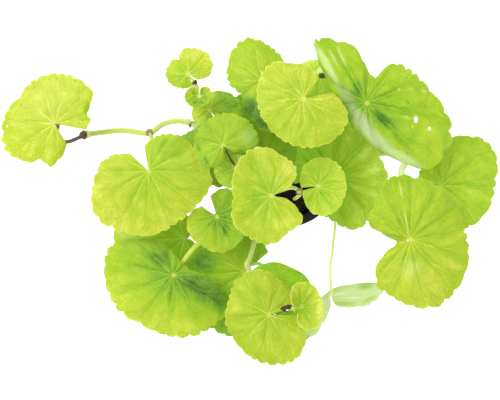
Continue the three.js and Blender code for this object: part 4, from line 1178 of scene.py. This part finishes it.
pot = turned("nursery_pot", POT_PROFILE, POT_STEPS)
material, add = new_material("satin polypropylene")
place = add("TexCoord").outputs["Object"]
grain = add("TexNoise", place, Scale=1.4 / MM, Detail=2.0)
dust = add("TexNoise", place, Scale=0.16 / MM, Detail=5.0)
film = add("MapRange", dust, 0.5, 0.8, 0.0, 0.5)
colour = add("Mix", film, linear("#0c0c10"), linear("#1d1b1a"), data_type="RGBA")
bump = add("Bump", Height=grain, Strength=0.25, Distance=0.05 * MM)
add("OutputMaterial", add("BsdfPrincipled", Base_Color=colour, Roughness=0.48, IOR=1.49,
                          Specular_IOR_Level=0.25, Normal=bump))
pot.data.materials.append(material)
finish(pot, "pot")
print("pot:", len(pot.data.polygons), "faces")

# %% [markdown]
# Papery scales
#
# Each node of a creeping stem was once wrapped in a thin scale, which dries, browns and tears. Those that
# are left are small ragged cups. One turned shell is made ragged, stretched and tilted for each. They grow
# out of the stem.

# %% Scales at the nodes
SHELL = [(0, 0.62), (0.4, 0.56), (0.75, 0.32), (0.97, 0.02), (1, 0.05), (0.77, 0.4), (0.4, 0.7), (0, 0.78)]
SCALES = {
    "front": (286.2, 308.2, 86.6, (2.7, 1.7, 1.4), (12, 10, 15), "umber"),
    "front_tan": (287.4, 310, 87.4, (0.8, 0.5, 0.7), (20, 10, 10), "straw"),
    "upper": (187.2, 118.6, 56, (1.9, 0.9, 0.8), (0, 20, -15), "white"),
    "under": (193.2, 127.8, 56, (1.1, 1.4, 1.0), (-20, 0, 20), "white"),
    "bud": (194.7, 82.2, 75.6, (1.3, 1.2, 1.2), (0, 0, 30), "brown"),
    "runner": (83.2, 135, 4.3, (2.2, 2.4, 1.5), (0, -20, 10), "brown"),
}
SHELL_STEPS = 28


def papery(tint):
    """Dry thin scale in one tint, blotched with bark brown."""
    material, add = new_material("dry papery scale " + tint)
    noise = add("TexNoise", add("TexCoord").outputs["Object"], Scale=1.5 / MM)
    blend = add("MapRange", noise, 0.45, 1.0, 0.0, 0.6)
    colour = add("Mix", blend, linear(TINTS[tint]), linear(TINTS["bark"]), data_type="RGBA")
    add("OutputMaterial", add("BsdfPrincipled", Base_Color=colour, Roughness=0.7))
    return material


PAPERS = {tint: papery(tint) for tint in ("umber", "straw", "white", "brown")}
for seed, (name, (u, v, height, stretch, turns, tint)) in enumerate(SCALES.items()):
    scale = turned("scale_" + name, SHELL, SHELL_STEPS)
    for vert in scale.data.vertices:
        angle = math.atan2(vert.co.y, vert.co.x)
        ragged = 1 + 0.12 * math.sin(3 * angle + seed) + 0.07 * math.sin(7 * angle + 2 * seed)
        vert.co.x *= ragged
        vert.co.y *= ragged
    x, y, _ = seen_at(u, v, height)
    turn = Euler([math.radians(angle) for angle in turns])
    scale.data.transform(Matrix.LocRotScale(Vector((x, y, height)) * MM, turn, Vector(stretch)))
    scale.data.materials.append(PAPERS[tint])
    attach(scale, "root")
print("papery scales:", len(SCALES))

# %% [markdown]
# The growing medium
#
# The pot is filled with damp brown fibre. From a step away it is a dark lumpy bed with strands on it. The
# bed is a turned body whose top is roughened, and a tree scatters short bent strands over it with a fixed
# seed.

# %% Bed and strands
BED_PROFILE = [(0, 1.7), (17.2, 1.7), (21.9, 44.6), (20.5, 46.1), (17, 46.4), (13, 46.5), (9, 46.5),
               (4.5, 46.5), (0, 46.5)]
BED_STEPS = 48
BED_TOP_STARTS = 44.8
LUMP_HEIGHT = 0.8
STRANDS_PER_SQUARE_METRE = 520000
STRAND_LENGTH = 6
STRAND_RADIUS = 0.11


def strands_tree():
    """Lays short bent strands on the top of the bed."""
    tree, add, given = new_tree(
        "fibre bed", "GeometryNodeTree",
        {"Geometry": "Geometry", "Float": "Lumps, Density, Length", "Int": "Seed", "Material": "Fibre"})
    place = add("InputPosition")
    height = add("SeparateXYZ", place).outputs["Z"]
    is_top = add("Math.GREATER_THAN", height, BED_TOP_STARTS * MM)
    fine = add("SubdivideMesh", given["Geometry"], Level=2)
    lump = add("MapRange", add("TexNoise", place, Scale=0.26 / MM, Detail=4.0), 0.3, 0.7, -1.4, 0.6)
    lump = add("Math.MULTIPLY", lump, given["Lumps"])
    bed = add("SetPosition", fine, is_top, Offset=add("CombineXYZ", Z=lump))
    spots = add("DistributePointsOnFaces", bed, is_top, Density=given["Density"], Seed=given["Seed"])
    strand = add("CurvePrimitiveBezierSegment", Resolution=6, Start=(-0.5, 0, 0),
                 Start_Handle=(-0.2, 0.35, 0.12), End_Handle=(0.2, -0.3, 0.1), End=(0.5, 0.05, 0))
    section = add("CurvePrimitiveCircle", Resolution=3, Radius=STRAND_RADIUS / STRAND_LENGTH)
    strand = add("CurveToMesh", strand, section, Fill_Caps=True)
    turn = add("RandomValue", (-0.35, -0.35, 0.0), (0.35, 0.35, 6.28), Seed=3, data_type="FLOAT_VECTOR")
    size = add("RandomValue", 0.45, 1.0, Seed=8, data_type="FLOAT")
    size = add("Math.MULTIPLY", size, given["Length"])
    strands = add("InstanceOnPoints", spots, Instance=strand, Rotation=turn, Scale=size)
    end_tree(add, add("JoinGeometry", [bed, strands]), given["Fibre"])
    return tree


material, add = new_material("damp rooting fibre")
noise = add("TexNoise", add("TexCoord").outputs["Object"], Scale=0.9 / MM, Detail=4.0)
colour = add("Mix", noise, linear("#0b0606"), linear("#2c1b16"), data_type="RGBA")
bump = add("Bump", Height=noise, Strength=0.8, Distance=0.4 * MM)
add("OutputMaterial", add("BsdfPrincipled", Base_Color=colour, Roughness=0.85, IOR=1.4, Normal=bump))
bed = turned("bed", BED_PROFILE, BED_STEPS)
bed_mesh = bed.data
bpy.data.objects.remove(bed)
medium = grow("rooting_medium", bed_mesh, strands_tree(),
              {"Lumps": LUMP_HEIGHT * MM, "Density": STRANDS_PER_SQUARE_METRE, "Length": STRAND_LENGTH * MM,
               "Seed": 4, "Fibre": material})
finish(medium, "growing_medium")
print("growing medium:", len(medium.data.polygons), "faces")
